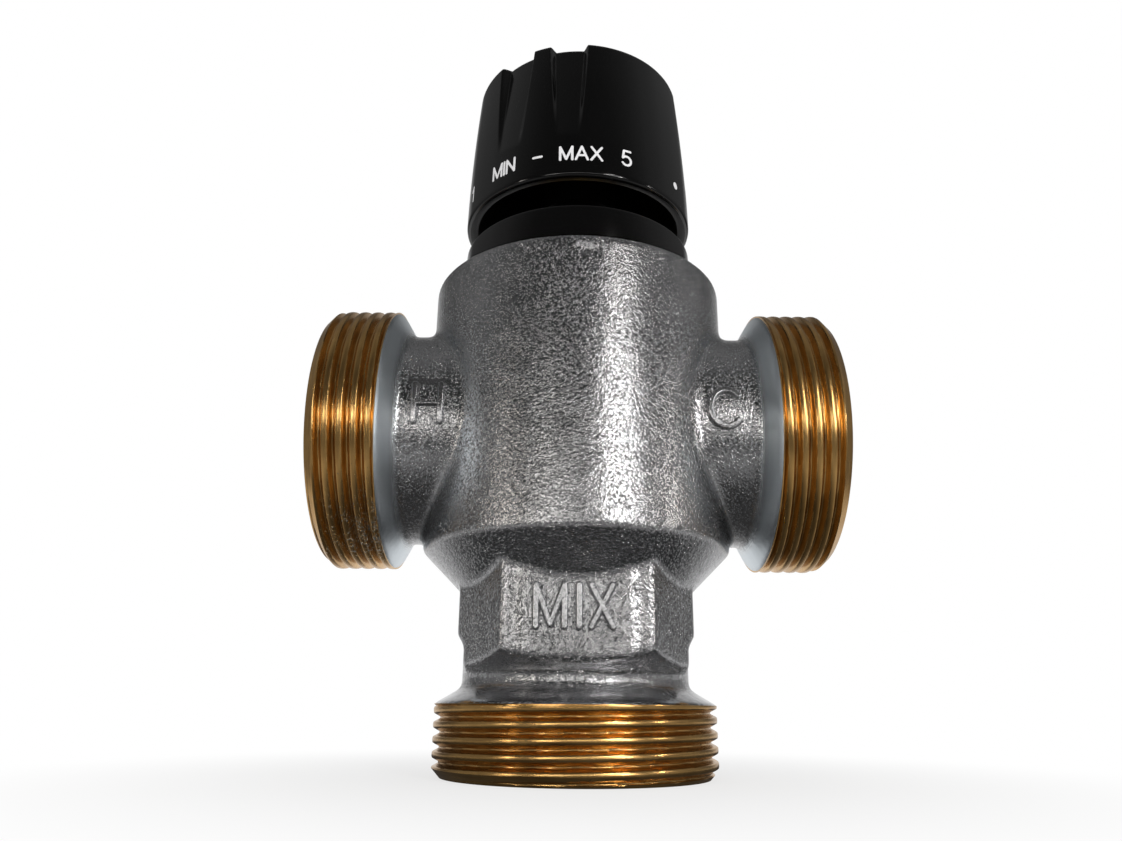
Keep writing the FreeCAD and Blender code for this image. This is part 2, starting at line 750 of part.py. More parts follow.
def make_knob():
    low_in = KNOB_R - KNOB_WALL
    top_in = KNOB_CORE_TOP_R - KNOB_WALL
    hollow = turned([
        (0, KNOB_LOW_Z - 1),
        (low_in, KNOB_LOW_Z - 1),
        (low_in, KNOB_LOW_Z + 2),
        (top_in, KNOB_PLATE_Z),
        (0, KNOB_PLATE_Z),
    ])
    hub = turned([
        (0, HEX_FOOT_Z + OPEN_GAP),
        (KNOB_HUB_R, HEX_FOOT_Z + OPEN_GAP),
        (KNOB_HUB_R, KNOB_PLATE_Z + 1),
        (0, KNOB_PLATE_Z + 1),
    ])
    shape = knob_outside().cut(hollow.cut(hub))
    socket_top = HEX_TOP_Z + OPEN_GAP
    shape = shape.cut(hexagon(HEX_AF + 2 * SEATED, HEX_FOOT_Z - 1, socket_top))
    shape = shape.cut(rod(SCREW_R + 0.2, socket_top - 1, KNOB_TOP_Z + 1))
    shape = shape.cut(rod(SCREW_WELL_R, KNOB_WEB_Z + KNOB_WEB_H, KNOB_TOP_Z + 1))
    spigot_z = KNOB_TOP_Z - CAP_H - CAP_SPIGOT_H
    shape = shape.cut(rod(CAP_SPIGOT_R, spigot_z - OPEN_GAP, KNOB_TOP_Z + 1))
    return shape.cut(rod(CAP_R, KNOB_TOP_Z - CAP_H, KNOB_TOP_Z + 1))


def make_knob_cap():
    low = KNOB_TOP_Z - CAP_H + FACE_GAP
    r = CAP_R - SEATED
    return turned([
        (0, low - CAP_SPIGOT_H),
        (CAP_SPIGOT_R - SEATED, low - CAP_SPIGOT_H),
        (CAP_SPIGOT_R - SEATED, low),
        (r, low),
        (r, KNOB_TOP_Z - 0.5),
        (r - 0.5, KNOB_TOP_Z),
        (0, KNOB_TOP_Z),
    ])


def make_screw_washer():
    low = KNOB_WEB_Z + KNOB_WEB_H + FACE_GAP
    return tube(SCREW_WASHER_R, SCREW_R + 0.15, low, low + SCREW_WASHER_H)


def make_knob_screw():
    head_z = KNOB_WEB_Z + KNOB_WEB_H + FACE_GAP + SCREW_WASHER_H + FACE_GAP
    screw = turned([
        (0, KNOB_WEB_Z - SCREW_REACH),
        (SCREW_R - 0.4, KNOB_WEB_Z - SCREW_REACH),
        (SCREW_R, KNOB_WEB_Z - SCREW_REACH + 0.4),
        (SCREW_R, head_z),
        (SCREW_HEAD_R, head_z),
        (SCREW_HEAD_R, head_z + SCREW_HEAD_H * 0.6),
        (SCREW_HEAD_R * 0.7, head_z + SCREW_HEAD_H),
        (0, head_z + SCREW_HEAD_H),
    ])
    arm = SCREW_HEAD_R * 0.55
    top = head_z + SCREW_HEAD_H
    for turn in (0, 90):
        slot = block(-arm, arm, -0.45, 0.45, top - 1.4, top + 1)
        screw = screw.cut(turned_about_z(slot, turn))
    return screw


PARTS = {
    "body": make_body,
    "lower_seat": make_lower_seat,
    "seat_o_ring": make_seat_o_ring,
    "outlet_guide": make_outlet_guide,
    "return_spring": make_return_spring,
    "shutter": make_shutter,
    "shutter_o_ring": make_shutter_o_ring,
    "wax_capsule": make_wax_capsule,
    "capsule_clip": make_capsule_clip,
    "capsule_pin": make_capsule_pin,
    "bonnet": make_bonnet,
    "bonnet_o_ring": make_bonnet_o_ring,
    "carriage": make_carriage,
    "overtravel_spring": make_overtravel_spring,
    "spring_cup": make_spring_cup,
    "cup_ring": make_cup_ring,
    "spindle": make_spindle,
    "spindle_o_rings": make_spindle_o_rings,
    "spindle_circlip": make_spindle_circlip,
    "thrust_washer": make_thrust_washer,
    "shroud": make_shroud,
    "knob": make_knob,
    "knob_cap": make_knob_cap,
    "knob_screw": make_knob_screw,
    "screw_washer": make_screw_washer,
}

os.makedirs("parts", exist_ok=True)
for name, maker in PARTS.items():
    shape = maker()
    shape.exportStep("parts/" + name + ".step")
    box = shape.BoundBox
    print(name, "solids", len(shape.Solids), "valid", shape.isValid(),
          "volume", round(shape.Volume, 1),
          "z", round(box.ZMin, 2), round(box.ZMax, 2))
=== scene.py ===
import math
import bmesh
import bpy
import numpy as np
from mathutils import Matrix, Vector


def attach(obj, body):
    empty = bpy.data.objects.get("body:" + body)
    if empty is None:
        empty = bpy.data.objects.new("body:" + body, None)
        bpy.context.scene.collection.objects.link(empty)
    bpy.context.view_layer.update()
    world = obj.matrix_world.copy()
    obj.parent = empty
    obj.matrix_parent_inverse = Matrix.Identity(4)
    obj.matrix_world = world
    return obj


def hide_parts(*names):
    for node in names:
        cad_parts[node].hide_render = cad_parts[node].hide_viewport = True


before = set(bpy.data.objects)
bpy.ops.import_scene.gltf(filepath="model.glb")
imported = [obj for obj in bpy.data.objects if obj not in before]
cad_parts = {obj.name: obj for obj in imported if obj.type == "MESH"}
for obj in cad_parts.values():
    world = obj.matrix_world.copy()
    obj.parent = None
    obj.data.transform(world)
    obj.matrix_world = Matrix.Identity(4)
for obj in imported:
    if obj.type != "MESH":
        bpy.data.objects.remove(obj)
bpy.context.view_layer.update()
print("frame loaded")

mm = 0.001           # lengths below are written in mm and turned into metres with this
poleRing = 0.0001    # radius in mm of a ring that is then welded to a point


# Quads over a (rows, columns) grid of points. Rows follow the profile, columns go round.
def gridFaces(rows, columns, closeRows, closeColumns):
    r = np.arange(rows if closeRows else rows - 1)
    c = np.arange(columns if closeColumns else columns - 1)
    rr, cc = np.meshgrid(r, c, indexing="ij")
    rn = (rr + 1) % rows
    cn = (cc + 1) % columns
    corners = [rr * columns + cc, rr * columns + cn, rn * columns + cn, rn * columns + cc]
    return np.stack(corners, -1).reshape(-1, 4)


# Volume enclosed by quads: sum of v0 . (v1 x v2) over both triangles, divided by 6.
def signedVolume(points, faces):
    a, b, c, d = (points[faces[:, i]] for i in range(4))
    first = np.einsum("ij,ij->i", a, np.cross(b, c))
    second = np.einsum("ij,ij->i", a, np.cross(c, d))
    return float((first + second).sum() / 6)


# Mesh over a (rows, columns, 3) grid of points. A closed one is turned to face outwards.
def meshFromGrid(name, points, closeRows=True, closeColumns=True):
    rows, columns = points.shape[:2]
    flat = points.reshape(-1, 3)
    faces = gridFaces(rows, columns, closeRows, closeColumns)
    if closeRows and closeColumns and signedVolume(flat, faces) < 0:
        faces = faces[:, ::-1]
    mesh = bpy.data.meshes.new(name)
    mesh.from_pydata(flat.tolist(), [], faces.tolist())
    mesh.validate()
    return mesh


# Merges points that lie within reach of each other.
def weld(mesh, reach=0.001 * mm):
    bm = bmesh.new()
    bm.from_mesh(mesh)
    bmesh.ops.remove_doubles(bm, verts=bm.verts, dist=reach)
    bm.to_mesh(mesh)
    bm.free()
    return mesh


def shadeSmooth(mesh, sharpAngle):
    mesh.polygons.foreach_set("use_smooth", np.ones(len(mesh.polygons), dtype=bool))
    mesh.set_sharp_from_angle(angle=math.radians(sharpAngle))


def showObject(name, data):
    obj = bpy.data.objects.new(name, data)
    bpy.context.scene.collection.objects.link(obj)
    return obj


# At 180 degrees no edge of the piece is sharp.
def addPiece(name, mesh, sharpAngle=180):
    shadeSmooth(mesh, sharpAngle)
    return showObject(name, mesh)


# Each corner c becomes a curve (1-t)^2 p + 2t(1-t) c + t^2 q, with p and q at its size from c,
# or at the most that a corner may take of the shorter edge beside it.
def roundCorners(corners, sizes, steps=6, most=0.45):
    pts = np.array(corners, float)
    before = np.roll(pts, 1, axis=0) - pts
    after = np.roll(pts, -1, axis=0) - pts
    lengthBefore = np.linalg.norm(before, axis=1)
    lengthAfter = np.linalg.norm(after, axis=1)
    size = np.minimum(np.array(sizes, float), most * np.minimum(lengthBefore, lengthAfter))
    p = pts + before / lengthBefore[:, None] * size[:, None]
    q = pts + after / lengthAfter[:, None] * size[:, None]
    t = np.linspace(0, 1, steps)[None, :, None]
    curve = (1 - t) ** 2 * p[:, None] + 2 * t * (1 - t) * pts[:, None] + t ** 2 * q[:, None]
    return curve.reshape(-1, 2)


# Profile points (radius, height) carried round the Z axis: x = r sin a, y = -r cos a.
def turnedMesh(name, profile, columns=160):
    angle = np.linspace(0, 2 * math.pi, columns, endpoint=False)
    r = profile[:, 0][:, None]
    z = np.broadcast_to(profile[:, 1][:, None], (len(profile), columns))
    points = np.stack([r * np.sin(angle), -r * np.cos(angle), z], -1)
    return meshFromGrid(name, points)


# Moves each point a share of the way to the middle of its neighbours, several times.
def relax(points, edges, share, rounds):
    count = len(points)
    ends = np.concatenate([edges[:, 0], edges[:, 1]])
    others = np.concatenate([edges[:, 1], edges[:, 0]])
    degree = np.maximum(np.bincount(ends, minlength=count), 1)[:, None]
    for step in range(rounds):
        total = np.stack([np.bincount(ends, weights=points[others, k], minlength=count)
                          for k in range(3)], -1)
        points = points + (total / degree - points) * share[:, None]
    return points


# 3 x^2 - 2 x^3, with x held between 0 and 1.
def smoothStep(x):
    x = np.clip(x, 0, 1)
    return x * x * (3 - 2 * x)


def bakeModifiers(obj):
    graph = bpy.context.evaluated_depsgraph_get()
    fresh = bpy.data.meshes.new_from_object(obj.evaluated_get(graph))
    obj.modifiers.clear()
    old = obj.data
    obj.data = fresh
    bpy.data.meshes.remove(old)


def subtract(obj, cutterMesh):
    cutter = showObject("cutter", cutterMesh)
    cut = obj.modifiers.new("cut", "BOOLEAN")
    cut.operation = "DIFFERENCE"
    cut.solver = "MANIFOLD"
    cut.object = cutter
    bpy.context.view_layer.update()
    bakeModifiers(obj)
    bpy.data.objects.remove(cutter)
    bpy.data.meshes.remove(cutterMesh)


# Closed drum between two distances on Z, or on an X axis through the side ports: radius *
# (cos a, sin a) across the axis, with both ends drawn in to the middle.
def drumMesh(name, radius, start, end, axis, columns=160):
    angle = np.linspace(0, 2 * math.pi, columns, endpoint=False)
    pole = poleRing * mm
    rows = np.array([[pole, start], [radius, start], [radius, end], [pole, end]])
    r = rows[:, 0][:, None]
    s = np.broadcast_to(rows[:, 1][:, None], (len(rows), columns))
    a = r * np.cos(angle)
    b = r * np.sin(angle)
    if axis == "x":
        points = np.stack([s, a, b + valveSizes["portHeight"]], -1)
    else:
        points = np.stack([a, b, s], -1)
    return weld(meshFromGrid(name, points))


# Box between two opposite corners, used for cutting.
def boxMesh(name, low, high):
    x0, y0, z0 = low
    x1, y1, z1 = high
    points = [(x0, y0, z0), (x1, y0, z0), (x1, y1, z0), (x0, y1, z0),
              (x0, y0, z1), (x1, y0, z1), (x1, y1, z1), (x0, y1, z1)]
    faces = [(0, 3, 2, 1), (4, 5, 6, 7), (0, 1, 5, 4), (1, 2, 6, 5), (2, 3, 7, 6), (3, 0, 4, 7)]
    mesh = bpy.data.meshes.new(name)
    mesh.from_pydata(points, [], faces)
    return mesh


# A node in the tree of a material or of the world. Values are its settings or its sockets.
def addNode(owner, kind, **values):
    node = owner.node_tree.nodes.new(kind)
    for key, value in values.items():
        if hasattr(node, key):
            setattr(node, key, value)
        else:
            node.inputs[key].default_value = value
    return node


def join(owner, source, target):
    owner.node_tree.links.new(source, target)


# A material with one Principled shader. Values are that shader's sockets.
def newMaterial(name, **values):
    material = bpy.data.materials.new(name)
    material.use_nodes = True
    material.node_tree.nodes.clear()
    output = addNode(material, "ShaderNodeOutputMaterial")
    shader = addNode(material, "ShaderNodeBsdfPrincipled", **values)
    join(material, shader.outputs[0], output.inputs["Surface"])
    return material, shader


def objectPosition(material):
    return addNode(material, "ShaderNodeTexCoord").outputs["Object"]


def mathNode(owner, operation, a, b=None, clamp=False):
    node = addNode(owner, "ShaderNodeMath", operation=operation, use_clamp=clamp)
    for socket, value in zip(node.inputs, (a, b)):
        if value is None:
            continue
        if isinstance(value, (int, float)):
            socket.default_value = value
        else:
            join(owner, value, socket)
    return node.outputs[0]


# a * (1 - share) + b * share.
def mixValues(material, a, b, share):
    return mathNode(material, "ADD", mathNode(material, "MULTIPLY", a, 1 - share),
                    mathNode(material, "MULTIPLY", b, share))


# First where the share is 0, the plain second colour where it is 1.
def mixColours(material, share, first, second):
    node = addNode(material, "ShaderNodeMix", data_type="RGBA")
    join(material, share, node.inputs["Factor"])
    join(material, first, node.inputs[6])            # sockets 6, 7 and 2 are the colour ones
    node.inputs[7].default_value = second + (1,)
    return node.outputs[2]


def mixShaders(owner, share, first, second):
    node = addNode(owner, "ShaderNodeMixShader")
    join(owner, share, node.inputs["Fac"])
    join(owner, first.outputs[0], node.inputs[1])
    join(owner, second.outputs[0], node.inputs[2])
    return node


# Carries a value from one span to another, straight or with soft ends.
def mapRange(owner, value, start, end, low=0.0, high=1.0, kind="LINEAR"):
    node = addNode(owner, "ShaderNodeMapRange", interpolation_type=kind)
    join(owner, value, node.inputs["Value"])
    for key, number in (("From Min", start), ("From Max", end), ("To Min", low), ("To Max", high)):
        node.inputs[key].default_value = number
    return node.outputs[0]


def colourRamp(owner, source, stops):
    node = addNode(owner, "ShaderNodeValToRGB")
    ramp = node.color_ramp
    stops = list(stops)
    while len(ramp.elements) < len(stops):
        ramp.elements.new(0.5)
    for element, (place, colour) in zip(ramp.elements, stops):
        element.position = place
        element.color = (*colour, 1)
    join(owner, source, node.inputs["Fac"])
    return node.outputs["Color"]


def noiseValue(material, position, scale, detail=2.0, rough=0.5):
    node = addNode(material, "ShaderNodeTexNoise", Scale=scale, Detail=detail, Roughness=rough)
    join(material, position, node.inputs["Vector"])
    return node.outputs["Fac"]


def bumpFrom(material, shader, height, distance, strength=1.0, before=None):
    node = addNode(material, "ShaderNodeBump", Strength=strength, Distance=distance)
    join(material, height, node.inputs["Height"])
    if before is not None:
        join(material, before, node.inputs["Normal"])
    join(material, node.outputs["Normal"], shader.inputs["Normal"])
    return node.outputs["Normal"]


viewPoint = {
    "place": (-2.26 * mm, -153.1 * mm, 11.0 * mm),
    "lookUp": 18.02,      # degrees above level
    "lookRight": 0.20,
    "roll": 0.51,
    "lens": 27.30,
    "sensor": 36,
    "shiftX": -0.0058,
    "shiftY": 0.0091,
    "clipStart": 5 * mm,
}


def makeCamera():
    data = bpy.data.cameras.new("mainCamera")
    data.lens = viewPoint["lens"]
    data.sensor_width = viewPoint["sensor"]
    data.shift_x = viewPoint["shiftX"]
    data.shift_y = viewPoint["shiftY"]
    data.clip_start = viewPoint["clipStart"]
    camera = showObject("mainCamera", data)
    turn = (Matrix.Rotation(math.radians(-viewPoint["lookRight"]), 4, "Z")
            @ Matrix.Rotation(math.radians(90 + viewPoint["lookUp"]), 4, "X")
            @ Matrix.Rotation(math.radians(viewPoint["roll"]), 4, "Z"))
    camera.matrix_world = Matrix.Translation(viewPoint["place"]) @ turn
    bpy.context.scene.camera = camera


makeCamera()
print("camera placed")

valveSizes = {
    "portHeight": 58.5 * mm,
    "faceToAxis": 44.5 * mm,
    "threadRadius": 23.9 * mm,
    "threadLength": 11.5 * mm,
    "pitch": 2.309 * mm,
    "boreRadius": 16.0 * mm,
    "neckRadius": 19.4 * mm,
    "barrelRadius": 27.3 * mm,
}


castingSizes = {
    "voxel": 0.52 * mm,
    "softRounds": 3,          # general rounding of the cast edges
    "seamRounds": 10,         # extra rounding where the necks meet the barrel
    "softShare": 0.5,         # how far one round moves a point
    "seamWidth": 2.0 * mm,
    "joint": 0.15 * mm,       # how far a threaded end reaches into the casting
    "sharpAngle": 38,
    "nickPlace": (1.2 * mm, -27.2 * mm, 84.0 * mm),
    "nickSize": 1.6 * mm,
    "nickDepth": 0.50 * mm,
    "nickLean": (0.6, 0.5),   # shares of x and z in its width
    "sideBoreStart": 25.5 * mm,
    # radius, ends and axis of the drums that fill the bores while the skin is made (mm)
    "plugs": ((25.0, 35.0, 86.6, "z"), (18.2, 0.6, 40.0, "z"), (18.2, -43.9, 43.9, "x")),
    # radius and height of the inside, from below upwards (mm)
    "inside": ((poleRing, -2), (16, -2), (16, 12), (15.1, 12), (15.1, 14), (16.4, 14), (16.4, 36),
               (17.2, 36), (17.2, 40), (23.3, 40), (23.3, 53), (17.25, 53), (17.25, 64),
               (23.3, 64), (23.3, 77), (20.6, 79.7), (20.6, 89), (poleRing, 89)),
    # opposite corners of the cold and the hot window (mm)
    "windows": (((15, -9, 64.5), (26, 9, 71.5)), ((-26, -9, 45.5), (-15, 9, 52.5))),
}


# A copy of a node's mesh with its loose triangles joined.
def mergedCopy(nodeName, name):
    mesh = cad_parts[nodeName].data.copy()
    mesh.name = name
    return weld(mesh)


def joinMeshes(name, meshes):
    bm = bmesh.new()
    for mesh in meshes:
        bm.from_mesh(mesh)
    whole = bpy.data.meshes.new(name)
    bm.to_mesh(whole)
    bm.free()
    for mesh in meshes:
        bpy.data.meshes.remove(mesh)
    return whole


# How near a point is to the line where a side neck (radius n about X) meets the barrel
# (radius b about Z): 1 on the line, 0 at the seam width from either surface, by the square
# roots of smooth(1 - distance / width) multiplied.
def seamShare(points):
    width = castingSizes["seamWidth"]
    offBarrel = np.abs(np.hypot(points[:, 0], points[:, 1]) - valveSizes["barrelRadius"])
    offNeck = np.abs(np.hypot(points[:, 1], points[:, 2] - valveSizes["portHeight"])
                     - valveSizes["neckRadius"])
    return smoothStep(1 - offBarrel / width) ** 0.5 * smoothStep(1 - offNeck / width) ** 0.5


# The body with its bores filled gets an even skin, which is softened. A knock in the rim moves
# it by depth * smooth(1 - distance / size).
def makeSkin():
    c = castingSizes
    plugs = [drumMesh("plug", radius * mm, start * mm, end * mm, axis)
             for radius, start, end, axis in c["plugs"]]
    whole = joinMeshes("castBody", [mergedCopy("body", "bodyCopy")] + plugs)
    casting = showObject("castBody", whole)
    skin = casting.modifiers.new("skin", "REMESH")
    skin.mode = "VOXEL"
    skin.voxel_size = c["voxel"]
    bpy.context.view_layer.update()
    bakeModifiers(casting)
    mesh = casting.data
    points = np.empty(len(mesh.vertices) * 3)
    mesh.vertices.foreach_get("co", points)
    points = points.reshape(-1, 3)
    edges = np.empty(len(mesh.edges) * 2, dtype=np.int64)
    mesh.edges.foreach_get("vertices", edges)
    edges = edges.reshape(-1, 2)
    points = relax(points, edges, np.full(len(points), c["softShare"]), c["softRounds"])
    points = relax(points, edges, c["softShare"] * seamShare(points), c["seamRounds"])
    off = points - np.array(c["nickPlace"])
    off[:, 0] = off[:, 0] * c["nickLean"][0] + off[:, 2] * c["nickLean"][1]
    knock = smoothStep(1 - np.linalg.norm(off, axis=1) / c["nickSize"])
    points[:, 1] += c["nickDepth"] * knock
    mesh.vertices.foreach_set("co", points.ravel())
    mesh.update()
    print("casting skin made", len(mesh.vertices))
    return casting


# The skin, cut open again: its ends come off where the threads start, and then the inside,
# both side bores and both windows are cut.
def makeCasting():
    casting = makeSkin()
    far = 60 * mm       # past the part on every side
    tall = 120 * mm     # past the necks
    threadEnd = valveSizes["threadLength"]
    sideFace = valveSizes["faceToAxis"] - threadEnd
    bore = valveSizes["boreRadius"]
    start = castingSizes["sideBoreStart"]
    inside = np.array(castingSizes["inside"]) * mm
    cutters = [
        boxMesh("cutCold", (sideFace, -far, 0), (far, far, tall)),
        boxMesh("cutHot", (-far, -far, 0), (-sideFace, far, tall)),
        boxMesh("cutMix", (-far, -far, -far), (far, far, threadEnd)),
        weld(turnedMesh("inside", inside)),
        drumMesh("boreCold", bore, start, far, "x"),
        drumMesh("boreHot", bore, -far, -start, "x"),
    ]
    cutters += [boxMesh("window", *(np.array(corners) * mm).tolist())
                for corners in castingSizes["windows"]]
    for cutter in cutters:
        subtract(casting, cutter)
    shadeSmooth(casting.data, castingSizes["sharpAngle"])
    print("casting cut", len(casting.data.polygons))
    return casting


threadSizes = {
    "depth": 1.05 * mm,
    "crestFlat": 0.40,        # share of the pitch
    "rootFlat": 0.10,
    "crown": 0.07 * mm,       # rounding of the crests
    "fade": 0.9 * mm,         # length over which the groove runs out
    "flankSoft": 0.15,        # how much the flanks are softened
    "chamfer": 1.35 * mm,
    "chamferSlope": 0.9,      # rise in radius for each unit along the axis
    "columns": 240,
    "rowStep": 0.10 * mm,
    "edge": 0.25 * mm,
    "tuck": 0.02 * mm,        # the last ring of the thread sits this far inside the casting
    "backStep": 1.6 * mm,     # the back's radius is this much smaller
    "boreEdge": ((0, 0.5 * mm), (0.15 * mm, 0.15 * mm), (0.5 * mm, 0)),
    "sharpAngle": 40,
}


# Radius of the male end at distance s from its face and angle a round it. With the phase
# f = s / pitch + a / 2 pi, the height is a wave of |f - whole - 0.5| cut flat at crest and root,
# and the crest falls off by crown * (1 - t) ^ 2, with t from 0 at its edge to 1 in its middle.
# The groove closes at the casting, and the first turn is cut by radius - chamfer + slope * s.
def threadRadius(s, a):
    phase = s / valveSizes["pitch"] + a / (2 * math.pi)
    wave = 2 * np.abs(phase - np.floor(phase) - 0.5)
    low = threadSizes["rootFlat"]
    high = 1 - threadSizes["crestFlat"]
    height = np.clip((wave - low) / (high - low), 0, 1)
    soft = threadSizes["flankSoft"]
    height = (1 - soft) * height + soft * smoothStep(height)
    left = valveSizes["threadLength"] - s
    runOut = smoothStep(1 - left / threadSizes["fade"])
    height = np.maximum(height, runOut)
    t = np.clip((wave - high) / (1 - high), 0, 1) * (1 - runOut) + runOut
    r = (valveSizes["threadRadius"] - threadSizes["depth"] * (1 - height)
         - threadSizes["crown"] * (1 - t) ** 2)
    bevel = valveSizes["threadRadius"] - threadSizes["chamfer"] + s * threadSizes["chamferSlope"]
    return np.minimum(r, bevel)


# A threaded end as one closed ring: face - s * outward + r * (side cos a + across sin a), with
# (r, s) going along the thread, across the back and out again through the bore.
def threadedEnd(name, face, outward, side):
    t = threadSizes
    length = valveSizes["threadLength"]
    bore = valveSizes["boreRadius"]
    angle = np.linspace(0, 2 * math.pi, t["columns"], endpoint=False)
    s = np.arange(0, length, t["rowStep"])
    outer = threadRadius(s[:, None], angle[None, :])
    depth = np.broadcast_to(s[:, None], outer.shape)
    back = length + castingSizes["joint"]
    inner = [(valveSizes["threadRadius"] - t["tuck"], length - t["tuck"]),
             (valveSizes["threadRadius"] - t["backStep"], back), (bore, back), (bore, length / 2)]
    inner += [(bore + wider, deep) for wider, deep in t["boreEdge"]]
    innerR = np.array([[r] for r, d in inner]) * np.ones((1, len(angle)))
    innerS = np.array([[d] for r, d in inner]) * np.ones((1, len(angle)))
    faceR = outer[:1] - t["edge"]
    radius = np.concatenate([outer, innerR, faceR])
    along = np.concatenate([depth, innerS, np.zeros_like(faceR)])
    across = np.cross(outward, side)
    points = (np.array(face) + radius[..., None] * (np.cos(angle)[:, None] * side
                                                    + np.sin(angle)[:, None] * across)
              - along[..., None] * outward)
    return addPiece(name, meshFromGrid(name, points), t["sharpAngle"])


letterSizes = {
    "stroke": 1.10 * mm,
    "slope": 0.40 * mm,
    "raise": 0.68 * mm,
    "sink": 0.25 * mm,
    "step": 0.09 * mm,
    "offNeck": 0.1 * mm,                 # the patch starts this far outside the neck
    "H": (2.2 * mm, 3.2 * mm),           # half width and half height
    "C": (2.7 * mm, 3.2 * mm),
    "openC": 42,                         # half of the C's opening, degrees
    "cornersC": 25,
    "MIX": 3.15 * mm,                    # half height
    "placeH": (-25.2 * mm, 0.7 * mm),    # along the neck, and above its middle
    "placeC": (24.7 * mm, 0.3 * mm),
    "placeMix": (-0.2 * mm, -20.9 * mm, 25.85 * mm),
    "patchH": (3.6 * mm, 4.6 * mm),      # half width and half height of the patch
    "patchC": (3.9 * mm, 4.6 * mm),
    "patchMix": (7.4 * mm, 4.4 * mm),
}


# Two stems and a bar, for half width w and half height h.
def strokesH(w, h):
    return [((-w, -h), (-w, h)), ((w, -h), (w, h)), ((-w, 0), (w, 0))]


# Corners of an arc (x + rx cos t, y + ry sin t), as strokes between them.
def arcStrokes(x, y, rx, ry, start, end, count=14):
    t = np.radians(np.linspace(start, end, count))
    px = x + rx * np.cos(t)
    py = y + ry * np.sin(t)
    return [((px[i], py[i]), (px[i + 1], py[i + 1])) for i in range(count - 1)]


# Strokes of the word, x in mm and y as a share of the half height h.
def strokesMix(h):
    m = [((-6.2, -1), (-6.2, 1)), ((-6.2, 1), (-4.0, -0.9)), ((-4.0, -0.9), (-1.8, 1)),
         ((-1.8, 1), (-1.8, -1))]
    i = [((0.45, -1), (0.45, 1))]
    x = [((2.3, -1), (5.6, 1)), ((2.3, 1), (5.6, -1))]
    return [((ax * mm, ay * h), (bx * mm, by * h)) for (ax, ay), (bx, by) in m + i + x]


# Distance from every point to the nearest stroke.
def strokeDistance(u, v, strokes):
    nearest = np.full(u.shape, np.inf)
    for (ax, ay), (bx, by) in strokes:
        dx = bx - ax
        dy = by - ay
        t = np.clip(((u - ax) * dx + (v - ay) * dy) / (dx * dx + dy * dy), 0, 1)
        nearest = np.minimum(nearest, np.hypot(u - ax - t * dx, v - ay - t * dy))
    return nearest


# A patch just under the cast surface that rises over each stroke: the height is
# raise - (raise + sink) * smooth((distance - stroke / 2) / slope + 0.5).
def letterPatch(name, strokes, half, place):
    step = letterSizes["step"]
    u = np.arange(-half[0], half[0] + step, step)
    v = np.arange(-half[1], half[1] + step, step)
    vv, uu = np.meshgrid(v, u, indexing="ij")
    away = strokeDistance(uu, vv, strokes) - letterSizes["stroke"] / 2
    fall = smoothStep(away / letterSizes["slope"] + 0.5)
    height = letterSizes["raise"] - (letterSizes["raise"] + letterSizes["sink"]) * fall
    return addPiece(name, meshFromGrid(name, place(uu, vv, height), False, False))


# Round a side neck: x runs along it, and v goes to the angle v / radius round its front.
def onNeck(middle, lift):
    def place(u, v, h):
        r = valveSizes["neckRadius"] + letterSizes["offNeck"] + h
        a = v / valveSizes["neckRadius"]
        return np.stack([middle + u, -r * np.cos(a), valveSizes["portHeight"] + lift
                         + r * np.sin(a)], -1)
    return place


# On the flat panel: u to the right, v up and h out of it.
def onPanel(u, v, h):
    x, y, z = letterSizes["placeMix"]
    return np.stack([x + u, y - h, z + v], -1)


knobSizes = {
    "lowZ": 101.7 * mm,
    "topZ": 132.6 * mm,
    "rimRadius": 22.4 * mm,
    "topRadius": 20.6 * mm,
    "coreTopRadius": 18.9 * mm,
    "gripFootZ": 110.6 * mm,
    "edge": 0.9 * mm,
    "lip": 0.7 * mm,
    "fall": 1.6,               # power of the side's curve
    "gripEdge": 2.4,           # degrees over which a grip's side falls
    "gripFootShare": 0.6,      # width of a grip at its foot, as a share of its top
    "valleys": ((-5.9, 9.3), (-36.9, 10.6)),    # middle and half width, degrees
    "groups": 3,
    "columns": 960,
    "wallRows": 66,
    "edgeRows": 8,
    "lipRows": 5,
    "glossyRings": 6,          # rings of the inside, from the top, that keep the gloss
    # radius and height of the inside, from the top down to the lip (mm)
    "inside": (
        (12.25, 132.6), (12.03, 132.4), (12.03, 130.2), (8.0, 130.2), (8.0, 128.5), (5.6, 128.5),
        (5.6, 124.0), (2.2, 124.0), (2.2, 119.4), (4.42, 119.4), (4.42, 106.4), (7.6, 106.4),
        (7.6, 125.6), (16.7, 125.6), (18.4, 115.0), (20.2, 103.7), (20.2, 102.2), (20.6, 101.8)),
    "sharpAngle": 40,
}


# Outside radius: rim - (rim - top) * share ^ fall, with share the height from 0 to 1.
def knobRadius(z):
    k = knobSizes
    share = np.clip((z - k["lowZ"]) / (k["topZ"] - k["lowZ"]), 0, 1)
    return k["rimRadius"] - (k["rimRadius"] - k["topRadius"]) * share ** k["fall"]


